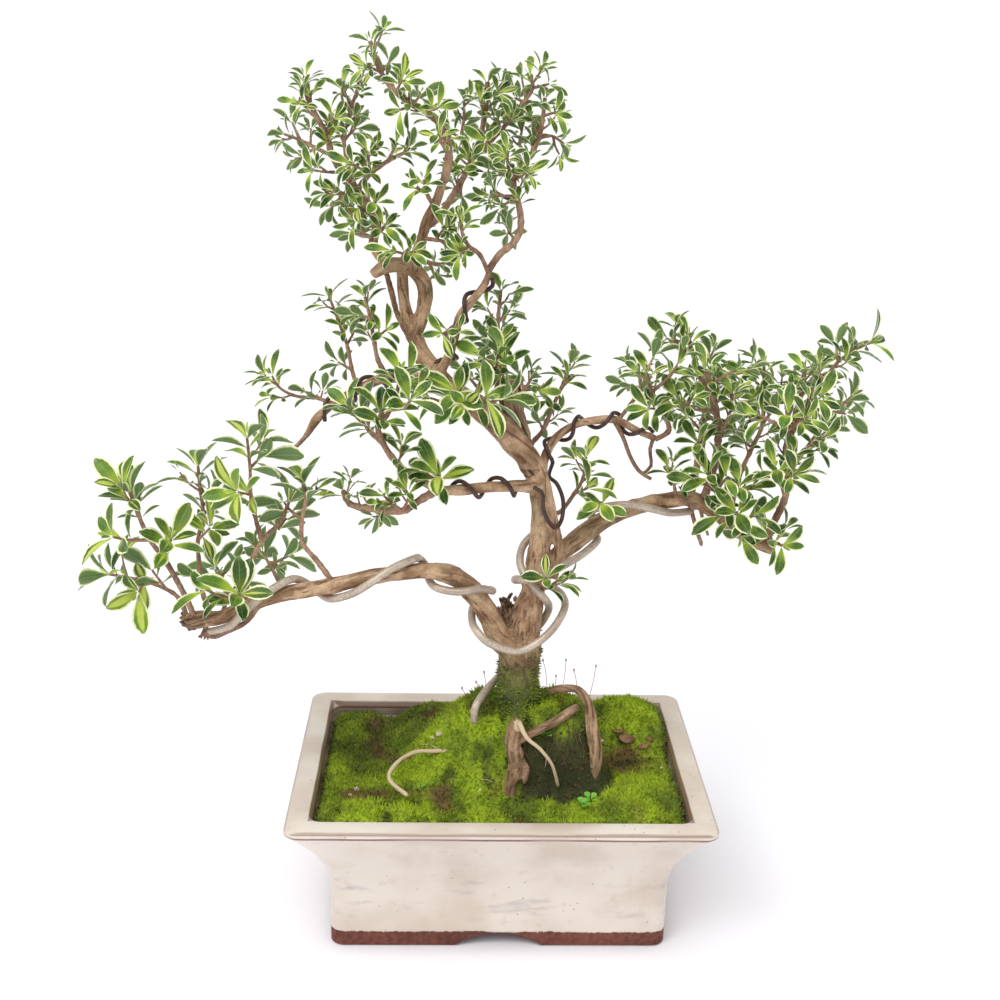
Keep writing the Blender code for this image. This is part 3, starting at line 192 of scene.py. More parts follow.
# %% The leafy branches: leaf length in millimetres, then each shoot's radius and places
SPRAYS = {
    "spray_left_01": (16, [
        (1.3, [(335, 585, -23), (318, 562, -22), (303, 543, -20), (302, 520, -18), (306, 498, -16),
               (303, 484, -14)]),
        (0.9, [(302, 520, -18), (290, 510, -10), (284, 502, -4)])]),
    "spray_left_02": (17, [
        (1.5, [(244, 607, -28), (250, 568, -24), (262, 541, -20), (280, 522, -14), (289, 502, -8)]),
        (1.2, [(262, 541, -20), (256, 520, -24), (251, 495, -28), (250, 468, -28), (247, 438, -26)])]),
    "spray_left_03": (15, [
        (1.3, [(212, 619, -28), (202, 590, -20), (199, 562, -16), (198, 540, -14), (203, 515, -12),
               (200, 488, -10), (198, 466, -8)])]),
    "spray_left_04": (16, [
        (1.4, [(196, 620, -28), (183, 592, -33), (165, 560, -38), (150, 540, -40), (138, 514, -40),
               (130, 492, -40)]),
        (0.9, [(150, 540, -40), (128, 540, -46), (113, 537, -50)])]),
    "spray_left_05": (17, [
        (1.3, [(188, 621, -28), (180, 600, -22), (166, 589, -20), (140, 580, -20), (108, 574, -20)]),
        (0.9, [(166, 589, -20), (152, 570, -12)])]),
    "spray_left_06": (18, [
        (1.3, [(238, 611, -28), (239, 602, -36), (239, 594, -42)]),
        (0.9, [(239, 602, -36), (222, 597, -42), (206, 590, -46)])]),
    "spray_left_07": (14, [
        (1.2, [(285, 594, -26), (278, 580, -8), (270, 565, 8), (262, 552, 18)])]),
    "spray_left_08": (14, [
        (1.2, [(222, 617, -28), (226, 596, -8), (222, 580, 8), (216, 566, 18)]),
        (0.9, [(222, 580, 8), (200, 576, 12)])]),
    "spray_middle_01": (16, [
        (1.2, [(444, 490, -21), (441, 482, -30), (438, 475, -34)])]),
    "spray_middle_02": (11, [
        (2.0, [(436, 491, -22), (420, 500, -22), (402, 511, -22), (372, 509, -20), (350, 504, -18),
               (343, 490, -16)]),
        (0.9, [(402, 511, -22), (392, 503, -28), (384, 496, -30)])]),
    "spray_middle_03": (15, [
        (2.0, [(441, 491, -22), (412, 476, -26), (396, 462, -28), (384, 445, -30), (378, 428, -34),
               (382, 412, -38)]),
        (1.0, [(384, 445, -30), (368, 430, -24), (360, 414, -20)]),
        (1.2, [(378, 428, -34), (390, 410, -36), (397, 392, -38), (400, 374, -38)])]),
    "spray_middle_04": (16, [
        (1.4, [(466, 399, -6), (463, 397, -18), (457, 392, -28)]),
        (1.0, [(463, 397, -18), (474, 400, -26), (486, 398, -32)]),
        (1.0, [(463, 397, -18), (446, 402, -24), (430, 398, -26)])]),
    "spray_middle_05": (16, [
        (1.2, [(512, 398, 4), (507, 378, -8), (504, 358, -14)]),
        (0.9, [(507, 378, -8), (494, 368, -18), (484, 358, -20)])]),
    "spray_middle_06": (11, [
        (1.1, [(512, 402, 4), (524, 390, 12), (534, 374, 14)])]),
    "spray_middle_07": (12, [
        (1.3, [(536, 472, 0), (530, 448, 12), (543, 430, 14), (553, 406, 14), (562, 386, 18),
               (570, 364, 20)]),
        (0.8, [(543, 430, 14), (538, 418, 22)])]),
    "spray_middle_08": (11, [
        (1.1, [(474, 404, -6), (478, 388, 6), (484, 371, 10)]),
        (0.9, [(478, 388, 6), (466, 374, 16)])]),
    "spray_middle_09": (12, [
        (1.3, [(490, 417, -6), (497, 385, 14), (499, 350, 18), (498, 322, 18), (501, 290, 16)]),
        (0.9, [(498, 322, 18), (510, 310, 22)])]),
    "spray_middle_10": (10, [
        (0.9, [(457, 328, -11), (449, 330, -20), (443, 334, -26)])]),
    "spray_middle_12": (11, [
        (1.2, [(388, 378, 10), (378, 360, 6), (374, 340, 2), (370, 318, 0), (365, 297, 0)]),
        (0.8, [(374, 340, 2), (386, 330, -6)])]),
    "spray_middle_13": (11, [
        (1.2, [(358, 390, 14), (352, 370, 18), (347, 345, 20), (338, 320, 20), (329, 296, 20)]),
        (0.8, [(352, 370, 18), (338, 362, 24)])]),
    "spray_middle_14": (12, [
        (1.2, [(334, 404, 16), (318, 398, 24), (306, 392, 26)]),
        (0.9, [(318, 398, 24), (296, 396, 32), (280, 388, 32), (272, 376, 30)])]),
    "spray_crown_tip": (9.5, [
        (1.8, [(444, 182, -10), (449, 153, -12), (442, 128, -12), (428, 112, -12), (413, 105, -10),
               (396, 92, -8), (381, 72, -6), (370, 41, -4)]),
        (0.8, [(381, 72, -6), (390, 62, 0)]),
        (0.8, [(413, 105, -10), (421, 94, -2)]),
        (0.8, [(413, 105, -10), (400, 110, -16)]),
        (1.0, [(449, 153, -12), (441, 142, -22), (438, 134, -26)])]),
    "spray_crown_left_01": (9.5, [
        (1.7, [(354, 186, 10), (343, 172, 8), (332, 156, 6), (327, 136, 4), (313, 110, 2), (306, 92, 2),
               (305, 76, 2)]),
        (0.8, [(313, 110, 2), (298, 102, -6)]),
        (1.0, [(332, 156, 6), (316, 148, 14), (300, 140, 16), (284, 134, 16)]),
        (0.8, [(343, 172, 8), (326, 172, 0), (312, 170, -6)])]),
    "spray_crown_left_02": (9.5, [
        (1.2, [(360, 194, 11), (351, 176, 18), (344, 140, 22), (350, 112, 22), (357, 90, 20),
               (360, 72, 18)]),
        (0.8, [(350, 112, 22), (342, 98, 16), (343, 84, 14)])]),
    "spray_crown_left_03": (10, [
        (1.3, [(357, 190, 10), (370, 174, 0), (388, 161, -4), (408, 151, -6)]),
        (0.8, [(388, 161, -4), (396, 144, -8)])]),
    "spray_crown_left_04": (10, [
        (1.0, [(367, 203, 11), (348, 196, 2), (334, 190, -4)])]),
    "spray_crown_left_05": (10, [
        (1.0, [(375, 216, 10), (366, 212, 0), (358, 206, -6)])]),
    "spray_crown_left_06": (10, [
        (0.9, [(374, 242, 8), (380, 232, -2), (384, 226, -8)])]),
    "spray_crown_left_07": (10, [
        (1.0, [(374, 236, 9), (362, 236, 20), (352, 232, 28)])]),
    "spray_crown_mid_01": (10, [
        (1.0, [(400, 265, 0), (404, 254, -8), (411, 247, -12)])]),
    "spray_crown_mid_02": (10, [
        (1.1, [(416, 260, 0), (428, 262, 10), (434, 274, 14)])]),
    "spray_crown_mid_03": (10, [
        (1.1, [(422, 238, -3), (436, 240, -12), (448, 242, -16)])]),
    "spray_crown_mid_04": (10, [
        (1.1, [(434, 206, -8), (427, 194, -14), (424, 180, -18)])]),
    "spray_crown_back": (10, [
        (1.8, [(426, 226, -5), (438, 218, 6), (450, 200, 14), (460, 184, 20), (472, 160, 24),
               (480, 138, 24), (484, 118, 22), (487, 98, 20), (487, 82, 20)]),
        (0.8, [(484, 118, 22), (496, 112, 30)]),
        (1.0, [(472, 160, 24), (462, 140, 32), (464, 118, 36), (464, 100, 36)]),
        (1.1, [(472, 160, 24), (492, 140, 16), (508, 122, 12), (524, 102, 8), (533, 88, 6), (530, 76, 4)]),
        (0.8, [(533, 88, 6), (549, 84, 2)]),
        (0.8, [(460, 184, 20), (462, 200, 30)])]),
    "spray_crown_right": (10, [
        (1.7, [(490, 268, -8), (500, 254, -8), (516, 240, -8), (521, 222, -6), (517, 196, -2),
               (514, 180, 2), (528, 160, 4), (539, 138, 6), (543, 116, 8), (545, 98, 8)]),
        (0.9, [(539, 138, 6), (552, 136, 14), (564, 144, 16)]),
        (0.8, [(543, 116, 8), (556, 112, 0)]),
        (0.9, [(514, 180, 2), (508, 166, -8), (508, 152, -12)]),
        (0.9, [(528, 160, 4), (520, 146, 14), (522, 130, 20)]),
        (0.8, [(517, 196, -2), (502, 196, -10), (491, 196, -12)]),
        (0.8, [(516, 240, -8), (508, 232, 4)])]),
    "spray_crown_low": (9.5, [
        (1.1, [(488, 272, -9), (480, 255, -16), (469, 246, -20), (462, 232, -22), (460, 217, -24)])]),
    "spray_right_01": (13, [
        (1.9, [(690, 499, 24), (697, 465, 34), (702, 432, 40), (706, 400, 40), (700, 375, 36),
               (692, 352, 34), (689, 338, 32)]),
        (0.9, [(700, 375, 36), (713, 352, 44)]),
        (0.9, [(692, 352, 34), (676, 344, 28), (667, 338, 26)]),
        (0.9, [(706, 400, 40), (722, 386, 50)]),
        (0.9, [(702, 432, 40), (690, 418, 50)])]),
    "spray_right_02": (12, [
        (1.5, [(656, 439, 18), (669, 430, 14), (662, 410, 10), (652, 392, 6), (646, 372, 4)]),
        (0.9, [(652, 392, 6), (668, 378, -2), (677, 366, -4)])]),
    "spray_right_03": (10, [
        (1.2, [(618, 420, 20), (630, 405, 28), (640, 388, 30), (638, 368, 30)])]),
    "spray_right_04": (13, [
        (2.1, [(703, 501, 24), (713, 470, 20), (718, 440, 18), (716, 410, 16), (710, 386, 8),
               (706, 370, 4)]),
        (0.9, [(710, 386, 8), (724, 376, 2), (736, 370, 0)]),
        (0.9, [(710, 386, 8), (694, 386, 2)]),
        (0.9, [(718, 440, 18), (730, 412, 8), (733, 394, 6)])]),
    "spray_right_05": (13, [
        (1.4, [(728, 523, 20), (738, 480, 34), (752, 448, 40), (762, 425, 40), (764, 390, 38),
               (764, 366, 36)]),
        (0.9, [(762, 425, 40), (778, 400, 46), (782, 378, 46)]),
        (0.8, [(764, 390, 38), (750, 376, 32)])]),
    "spray_right_06": (13, [
        (2.1, [(764, 545, 15), (774, 522, 14), (785, 498, 12), (789, 474, 12), (786, 448, 14),
               (796, 412, 18), (803, 388, 20), (804, 370, 20)]),
        (1.2, [(786, 448, 14), (806, 404, 6), (824, 380, 2), (838, 362, 0), (854, 350, -2)]),
        (0.8, [(854, 350, -2), (872, 342, -6)]),
        (1.0, [(789, 474, 12), (812, 440, 22), (834, 412, 28), (852, 396, 30)]),
        (1.0, [(786, 448, 14), (788, 430, 0), (788, 414, -8)]),
        (0.9, [(788, 430, 0), (770, 420, -8), (758, 415, -10)]),
        (0.9, [(789, 474, 12), (806, 450, 2), (822, 440, -4)]),
        (0.9, [(785, 498, 12), (780, 482, -2), (776, 468, -10)]),
        (0.8, [(806, 404, 6), (820, 398, -6)])]),
    "spray_right_07": (14, [
        (1.2, [(718, 511, 22), (716, 492, 8), (708, 474, 0)]),
        (0.9, [(716, 492, 8), (697, 480, 0)]),
        (0.9, [(716, 492, 8), (726, 478, -2)])]),
    "spray_right_08": (11, [
        (1.0, [(676, 500, 23), (674, 484, 14), (669, 468, 12)])]),
    "spray_right_10": (14, [
        (1.2, [(724, 519, 21), (726, 506, 8), (734, 497, 2), (738, 486, -2)])]),
    "spray_right_11": (15, [
        (1.2, [(740, 533, 18), (738, 522, 4), (737, 512, -6)]),
        (0.9, [(738, 522, 4), (722, 515, -4)]),
        (0.9, [(738, 522, 4), (741, 536, -6)])]),
    "spray_right_12": (12, [
        (1.1, [(770, 547, 14), (774, 542, 4), (782, 546, -2)])]),
    "spray_trunk_01": (13, [
        (1.2, [(548, 512, 0), (560, 512, 6), (574, 494, 8), (583, 478, 10), (586, 457, 10)]),
        (0.9, [(574, 494, 8), (588, 488, 4)])]),
    "spray_trunk_02": (15, [
        (1.1, [(612, 515, 15), (604, 506, 8), (600, 502, 2)])]),
    "spray_trunk_03": (12, [
        (1.1, [(533, 590, 0), (547, 588, -9), (557, 581, -12)])]),
}

# %% Further shoots that only this script grows
MORE_SHOOTS = {
    "spray_left_02": [
        (0.8, [(251, 495, -28), (238, 492, -34)]),
        (0.8, [(250, 468, -28), (262, 456, -22)])],
    "spray_left_03": [
        (0.8, [(203, 515, -12), (216, 502, -6)]),
        (0.8, [(198, 540, -14), (210, 528, -20)])],
    "spray_left_04": [
        (0.9, [(165, 560, -38), (171, 540, -46)])],
    "spray_left_05": [
        (0.8, [(144, 582, -20), (139, 592, -28)])],
    "spray_left_07": [
        (0.9, [(270, 565, 8), (288, 556, 18)])],
    "spray_left_08": [
        (0.8, [(226, 596, -8), (240, 582, 0)])],
    "spray_middle_02": [
        (0.8, [(402, 511, -22), (408, 500, -30), (407, 491, -34)]),
        (0.8, [(372, 509, -20), (380, 513, -12)])],
    "spray_middle_03": [
        (0.9, [(390, 410, -36), (404, 408, -44), (410, 400, -48)])],
    "spray_middle_06": [
        (0.8, [(524, 390, 12), (538, 390, 6)]),
        (0.8, [(524, 390, 12), (520, 376, 20)])],
    "spray_middle_07": [
        (0.8, [(553, 406, 14), (546, 396, 8)])],
    "spray_middle_09": [
        (0.8, [(499, 350, 18), (488, 338, 24)])],
    "spray_middle_12": [
        (0.8, [(370, 318, 0), (358, 314, 6)])],
    "spray_middle_13": [
        (0.8, [(347, 345, 20), (354, 332, 26)])],
    "spray_crown_tip": [
        (0.8, [(396, 92, -8), (402, 80, -14)]),
        (0.8, [(428, 112, -12), (438, 108, -20)]),
        (0.8, [(381, 72, -6), (366, 66, -12)])],
    "spray_crown_left_01": [
        (0.8, [(327, 136, 4), (334, 118, -4)]),
        (0.8, [(300, 140, 16), (292, 122, 20)]),
        (0.8, [(316, 148, 14), (302, 156, 24)])],
    "spray_crown_left_02": [
        (0.8, [(344, 140, 22), (356, 128, 30)])],
    "spray_crown_left_03": [
        (0.8, [(370, 174, 0), (368, 152, -6)]),
        (0.8, [(370, 174, 0), (352, 164, -10)])],
    "spray_crown_left_04": [
        (1.0, [(362, 196, 11), (346, 194, 2), (334, 190, -4)]),
        (0.8, [(346, 194, 2), (330, 206, 6)])],
    "spray_crown_left_05": [
        (0.8, [(366, 212, 0), (354, 222, -8)]),
        (0.8, [(366, 212, 0), (376, 202, -8)])],
    "spray_crown_left_07": [
        (0.8, [(362, 236, 20), (366, 222, 28)])],
    "spray_crown_mid_01": [
        (0.8, [(404, 254, -8), (391, 250, -14)])],
    "spray_crown_mid_02": [
        (0.8, [(428, 262, 10), (444, 264, 18)])],
    "spray_crown_mid_03": [
        (0.8, [(436, 240, -12), (444, 228, -20)])],
    "spray_crown_mid_04": [
        (0.8, [(427, 194, -14), (416, 188, -22)])],
    "spray_crown_back": [
        (0.8, [(487, 98, 20), (498, 92, 12)]),
        (0.8, [(462, 140, 32), (450, 130, 36)]),
        (0.8, [(524, 102, 8), (515, 98, 16)]),
        (0.8, [(508, 122, 12), (522, 118, 20)]),
        (1.0, [(460, 184, 20), (468, 170, 8), (470, 158, 4)]),
        (0.8, [(492, 140, 16), (486, 142, 4)])],
    "spray_crown_right": [
        (0.8, [(514, 180, 2), (528, 172, -8)]),
        (0.8, [(517, 196, -2), (500, 208, 8)]),
        (0.8, [(514, 180, 2), (498, 172, 12)])],
    "spray_crown_low": [
        (0.7, [(469, 246, -20), (460, 254, -26)])],
    "spray_right_02": [
        (0.8, [(646, 372, 4), (655, 354, 10)]),
        (0.8, [(662, 410, 10), (648, 408, 2)])],
    "spray_right_03": [
        (0.8, [(640, 388, 30), (626, 384, 38)])],
    "spray_right_04": [
        (0.9, [(716, 410, 16), (698, 410, 6), (684, 405, 0), (677, 398, -2)]),
        (0.8, [(730, 412, 8), (748, 402, 2)]),
        (0.8, [(713, 470, 20), (704, 454, 8), (698, 443, 4)])],
    "spray_right_05": [
        (0.8, [(752, 448, 40), (738, 436, 48)])],
    "spray_right_06": [
        (0.8, [(838, 362, 0), (836, 346, 8)]),
        (0.8, [(834, 412, 28), (846, 414, 38)]),
        (0.8, [(803, 388, 20), (814, 376, 32)]),
        (0.9, [(788, 430, 0), (806, 418, -12)]),
        (0.8, [(780, 482, -2), (795, 474, -14)]),
        (0.8, [(780, 482, -2), (763, 474, -8)])],
    "spray_right_10": [
        (0.8, [(734, 497, 2), (752, 488, -2)])],
    "spray_right_11": [
        (0.9, [(738, 522, 4), (754, 516, -2)])],
    "spray_right_12": [
        (0.8, [(774, 542, 4), (764, 530, -2)])],
    "spray_trunk_03": [
        (0.8, [(547, 588, -9), (546, 578, -16)])],
}

# %% The wires
HEAVY_WIRE = 1.9
FINE_WIRE = 1.0
GAP = 0.0003
WIRES = {
    "wire_heavy_limbs": (HEAVY_WIRE, [
        ("wound", "left_limb", 0.955, 0.735, -0.5, 0),
        ("wound", "left_limb", 0.735, 0.64, -0.5, 180),
        ("wound", "left_limb", 0.64, 0.425, -0.5, 0),
        ("wound", "left_limb", 0.425, 0.36, -0.5, 180),
        ("wound", "left_limb", 0.36, 0.225, -0.5, 0),
        ("wound", "left_limb", 0.225, 0.17, -0.5, 180),
        ("loose", [(476, 630, -16), (491, 644, -20), (520, 651, -18), (548, 634, -14), (564, 610, -5),
                   (562, 595, 7), (548, 585, 14), (532, 581, 13), (517, 579, 6), (516, 580, -8),
                   (531, 579, -14), (549, 573, -12.5), (568, 563, -4), (584, 553, 4)]),
        ("wound", "right_limb", 0.29, 0.35, -0.5, 180),
        ("wound", "right_limb", 0.35, 0.665, -0.5, 0)]),
    "wire_heavy_trunk": (HEAVY_WIRE, [
        ("loose", [(474, 722, -14), (476, 706, -13), (488, 688, -3), (502, 672, 11)]),
        ("wound", "trunk", 0.215, 0.332, 0.25, 90),
        ("wound", "trunk", 0.332, 0.48, 0.75, 180)]),
    "wire_fine_low": (FINE_WIRE, [
        ("wound", "left_middle", 0.9, 0.2, 2.2, 20),
        ("loose", [(541, 492, -10), (543, 508, -10), (549, 522, -10), (556, 528, -7), (562, 518, -1),
                   (563, 500, 4), (557, 484, 8), (549, 476, 11)]),
        ("wound", "right_thin", 0.12, 0.96, 3.6, 200)]),
    "wire_fine_top": (FINE_WIRE, [("wound", "right_stem", 0.08, 0.9, 2.6, 10)]),
    "wire_fine_left": (FINE_WIRE, [("wound", "left_upper", 0.12, 0.74, 2.8, 30)]),
}

# %% Smooth lines
def smooth_line(points, values, step):
    """Points about a step apart on a smooth curve through the given ones, with the
    values between them."""
    line, along = [], []
    for i in range(len(points) - 1):
        before = points[max(i - 1, 0)]
        start, end = points[i], points[i + 1]
        after = points[min(i + 2, len(points) - 1)]
        parts = max(1, round((end - start).length / step))
        for k in range(parts):
            t = k / parts
            bend = (2 * before - 5 * start + 4 * end - after) * t**2
            sweep = (3 * start - before - 3 * end + after) * t**3
            line.append((2 * start + (end - before) * t + bend + sweep) / 2)
            along.append(values[i] + (values[i + 1] - values[i]) * t)
    return line + [points[-1]], along + [values[-1]]


def line_length(line):
    return sum((b - a).length for a, b in zip(line, line[1:]))


def place_along(line, share):
    """The point, direction and place in the list at a share of a line's length."""
    lengths = [(b - a).length for a, b in zip(line, line[1:])]
    left = share * sum(lengths)
    for i, length in enumerate(lengths):
        if left <= length or i == len(lengths) - 1:
            t = min(left / length, 1)
            return line[i].lerp(line[i + 1], t), (line[i + 1] - line[i]).normalized(), i, t
        left -= length
    raise ValueError("a share is from 0 to 1")


def wound(line, radii, start, end, turns, angle, wire):
    """The places of a wire wound on a limb."""
    count = max(4, round(abs(turns) * 7))
    places = []
    for k in range(count + 1):
        t = k / count
        centre, ahead, i, part = place_along(line, start + (end - start) * t)
        reach = radii[i] + (radii[i + 1] - radii[i]) * part + wire + 1.3 * GAP
        side = ahead.cross(Vector((0, 1, 0))).normalized()
        up = side.cross(ahead)
        turn = math.radians(angle) + 2 * math.pi * turns * t
        places.append(centre + (side * math.cos(turn) + up * math.sin(turn)) * reach * 1.06)
    return places


# %% Lines of the wires, the wood and the shoots
def wire_line(stretches, wire, step):
    """A wire's line through its loose and its wound stretches, and its radii."""
    places = []
    for kind, *rest in stretches:
        if kind == "loose":
            places += [seen(p) for p in rest[0]]
        else:
            limb, start, end, turns, angle = rest
            turned = wound(*solid_wood[limb], start, end, turns, angle, wire)
            goes_on = bool(places) and (turned[0] - places[-1]).length < wire
            places += turned[1:] if goes_on else turned
    return smooth_line(places, [wire] * len(places), step)


def traced(places, radii, step):
    """A smooth line through traced places, with radii given in millimetres."""
    return smooth_line([seen(p) for p in places], [r * MM for r in radii], step)


def stretches_of(line, radii):
    return [(a, b, max(r, s)) for a, b, r, s in zip(line, line[1:], radii, radii[1:])]


def shoot_radii(radius, count):
    """A shoot's radii in metres, thinner towards its tip."""
    return [radius * (1 - 0.45 * k / (count - 1)) * MM for k in range(count)]


def shoot_lines(table):
    """Each spray's shoots as lines with radii, and its leaf length."""
    grown = {}
    for name, (leaf, shoots) in table.items():
        lines = []
        for radius, places in shoots:
            lines.append(smooth_line([seen(p) for p in places], shoot_radii(radius, len(places)), 0.018))
        grown[name] = (leaf * MM, lines)
    return grown


solid_wood = {name: traced(places, radii, 0.012 if max(radii) > THIN_WOOD else 0.014)
              for name, (places, radii) in WOOD.items()}
solid_wires = {name: wire_line(stretches, radius * MM, 0.009)
               for name, (radius, stretches) in WIRES.items()}
print(len(solid_wood), "limbs and roots,", len(solid_wires), "wires")

# %% [markdown]
# ## Where the leaves go
# A serissa leaf is narrow at its stalk and widest past its middle, and stands in pairs that
# cross each other at the tip of a shoot. The leaves of the solids follow a rule with a seeded
# draw, so the same rule here finds the same leaves again, and the finer leaves keep their form.

# %% The rule for a tuft of leaves
LEAF_THICKNESS = 0.00062
LEAF_WIDE = 0.23
NECK = 0.00075
FULL_TUFT = 0.014
SEED = 7
OUTLINE = ((0.92, 0.42, 0.05), (0.80, 0.76, 0.03), (0, 1, -0.07), (-0.80, 0.76, 0.03), (-0.92, 0.42, 0.05))


def leaf_frame(centre, axis, turn, spread, tilt):
    """Where a leaf grows: at an angle from the shoot, its upper side to the shoot's tip."""
    out = Matrix.Rotation(turn, 3, axis) @ axis.orthogonal().normalized()
    along = axis * math.cos(spread) + out * math.sin(spread)
    normal = Matrix.Rotation(tilt, 3, along) @ (axis * math.sin(spread) - out * math.cos(spread))
    frame = Matrix((along.cross(normal), along, normal)).transposed().to_4x4()
    frame.translation = centre + out * NECK
    return frame


def outline_points(frame, length, up):
    return [frame @ Vector((x * LEAF_WIDE * length, y * length, z * length + up)) for x, y, z in OUTLINE]


def blade_tree(frame, length, thickness):
    """A blade's surface, for finding what it would touch."""
    points = []
    for up in (thickness / 2, -thickness / 2):
        points += [frame @ Vector((NECK, 0, up))] + outline_points(frame, length, up)
        points += [frame @ Vector((-NECK, 0, up))]
    fan = [(3, 2, 1), (3, 1, 0), (3, 0, 6), (3, 6, 5), (3, 5, 4)]
    sides = [(k, (k + 1) % 7, (k + 1) % 7 + 7, k + 7) for k in range(7)]
    return BVHTree.FromPolygons(points, fan + [tuple(k + 7 for k in face) for face in fan] + sides)


def blade_entry(frame, length, swell=1.0, thickness=LEAF_THICKNESS):
    """What other leaves have to clear: a blade's middle, its reach and its surface."""
    middle = frame @ Vector((0, length / 2, 0))
    return middle, length / 2 + NECK, blade_tree(frame, length * swell, thickness)


def clamped(value):
    return min(max(value, 0), 1)


def segment_distance(point, start, end):
    way = end - start
    share = clamped((point - start).dot(way) / max(way.length_squared, 1e-12))
    return (point - start - way * share).length


def touches_wood(frame, length, stretches):
    """True if a leaf comes too near a limb, a wire or another branch's stem."""
    samples = [frame @ Vector((x * LEAF_WIDE * length, y * length, 0))
               for x, y in ((0, 0.3), (0, 0.62), (0, 1), (0.9, 0.5), (-0.9, 0.5), (0.6, 0.85),
                             (-0.6, 0.85))]
    middle = frame @ Vector((0, length / 2, 0))
    for start, end, radius in stretches:
        if (middle - start).length > 0.6 * length + (end - start).length + radius:
            continue
        if any(segment_distance(p, start, end) < radius + 0.0012 for p in samples):
            return True
    return False


def leaf_options(centre, axis, turn, k, leaf, draw):
    """The ways that one leaf of a tuft may lie, the best first."""
    wide = k % 2 == 0
    spread = math.radians(draw.uniform(68, 86) if wide else draw.uniform(42, 56))
    aside, tilt = draw.uniform(-0.2, 0.2), draw.uniform(-0.25, 0.25)
    length = leaf * draw.uniform(0.86, 1.14) * (1 if wide else 0.88)
    tries = [(0, 0, 1), (0.25, 0, 1), (-0.3, 0, 1), (0, 0.25, 0.9), (0, -0.25, 0.9), (0, 0, 0.78),
             (0.2, 0, 0.65)]
    turn += math.pi / 2 * k + aside
    return [(leaf_frame(centre, axis, turn + off, spread + lean, tilt), length * share)
            for lean, off, share in tries]


def is_clear(frame, length, stretches, blades):
    middle = frame @ Vector((0, length / 2, 0))
    if touches_wood(frame, length, stretches):
        return False
    blade = blade_tree(frame, length, LEAF_THICKNESS + 2 * GAP)
    return not any(blade.overlap(tree) for centre, reach, tree in blades
                   if (centre - middle).length < reach + length / 2 + NECK)


def near_stems(centre, leaf, stems):
    """The stretches of wood and wire that a tuft's leaves can reach."""
    return [s for s in stems if segment_distance(centre, s[0], s[1]) < 1.3 * leaf + s[2]]


def grow_tuft(line, leaf, sides, draw, obstacles, blades):
    """The tuft at a shoot's tip, turned so that it holds the most leaf."""
    axis = (line[-1] - line[-2]).normalized()
    centre, first_turn = line[-1].copy(), draw.uniform(0, math.pi / 2)
    near = near_stems(centre, leaf, obstacles)
    best, most = None, -1
    for step in range(4):
        turn = first_turn + step * math.pi / 8
        leaves = []
        for k in range(4):
            options = leaf_options(centre, axis, turn, k, leaf, draw)
            clear = (o for o in options if is_clear(*o, near, blades))
            leaves.append(next(clear, None) if k in sides else None)
        held = sum(found[1] for found in leaves if found)
        if held > most + 0.001:
            best, most = (centre, axis, turn, leaves), held
    return best


def grow_leaves(grown, fixed):
    """Each spray's tufts, clear of the wood, of the stems and of one another."""
    draw = random.Random(SEED)
    stems = [(name, i, s) for name, (_, lines) in grown.items() for i, line in enumerate(lines)
             for s in stretches_of(*line)]
    blades, chosen = [], {}
    for name, (leaf, lines) in grown.items():
        chosen[name] = []
        for i, (line, _) in enumerate(lines):
            obstacles = fixed + [s for other, k, s in stems if (other, k) != (name, i)]
            sides = (0, 1, 2, 3) if i == 0 and leaf >= FULL_TUFT else (0, 2)
            tuft = grow_tuft(line, leaf, sides, draw, obstacles, blades)
            chosen[name].append(tuft)
            blades += [blade_entry(*found, 1.04, LEAF_THICKNESS + 2 * GAP) for found in tuft[3] if found]
    return chosen, blades

# %% Choosing the leaves of the solids again
leafy_branches = shoot_lines(SPRAYS)
obstacles = [s for line in solid_wood.values() for s in stretches_of(*line)]
obstacles += [s for wire in solid_wires.values() for s in stretches_of(*wire)]
tufts, blades = grow_leaves(leafy_branches, obstacles)
print(len(blades), "leaves of the solids")

# %% [markdown]
# ## Building finishes
# Each finish is a Principled shader fed by procedural nodes. What every finish needs, a
# mottle of two scales, is a node group with named inputs and outputs, built once. The class
# Finish holds a material and turns each usual step, such as a ramp or a coat of another
# colour by a mask, into one call.


# %% Node helpers
def new_material(name, roughness):
    made = bpy.data.materials.new(name)
    made.use_nodes = True
    shader = made.node_tree.nodes["Principled BSDF"]
    shader.inputs["Roughness"].default_value = roughness
    return made, made.node_tree, shader


def add(tree, kind, links=None, **settings):
    """A node with its settings, and with sockets or plain values for its inputs."""
    made = tree.nodes.new("ShaderNode" + kind)
    for key, value in settings.items():
        setattr(made, key, value)
    for socket, source in (links or {}).items():
        if isinstance(source, bpy.types.NodeSocket):
            tree.links.new(source, made.inputs[socket])
        else:
            made.inputs[socket].default_value = source
    return made


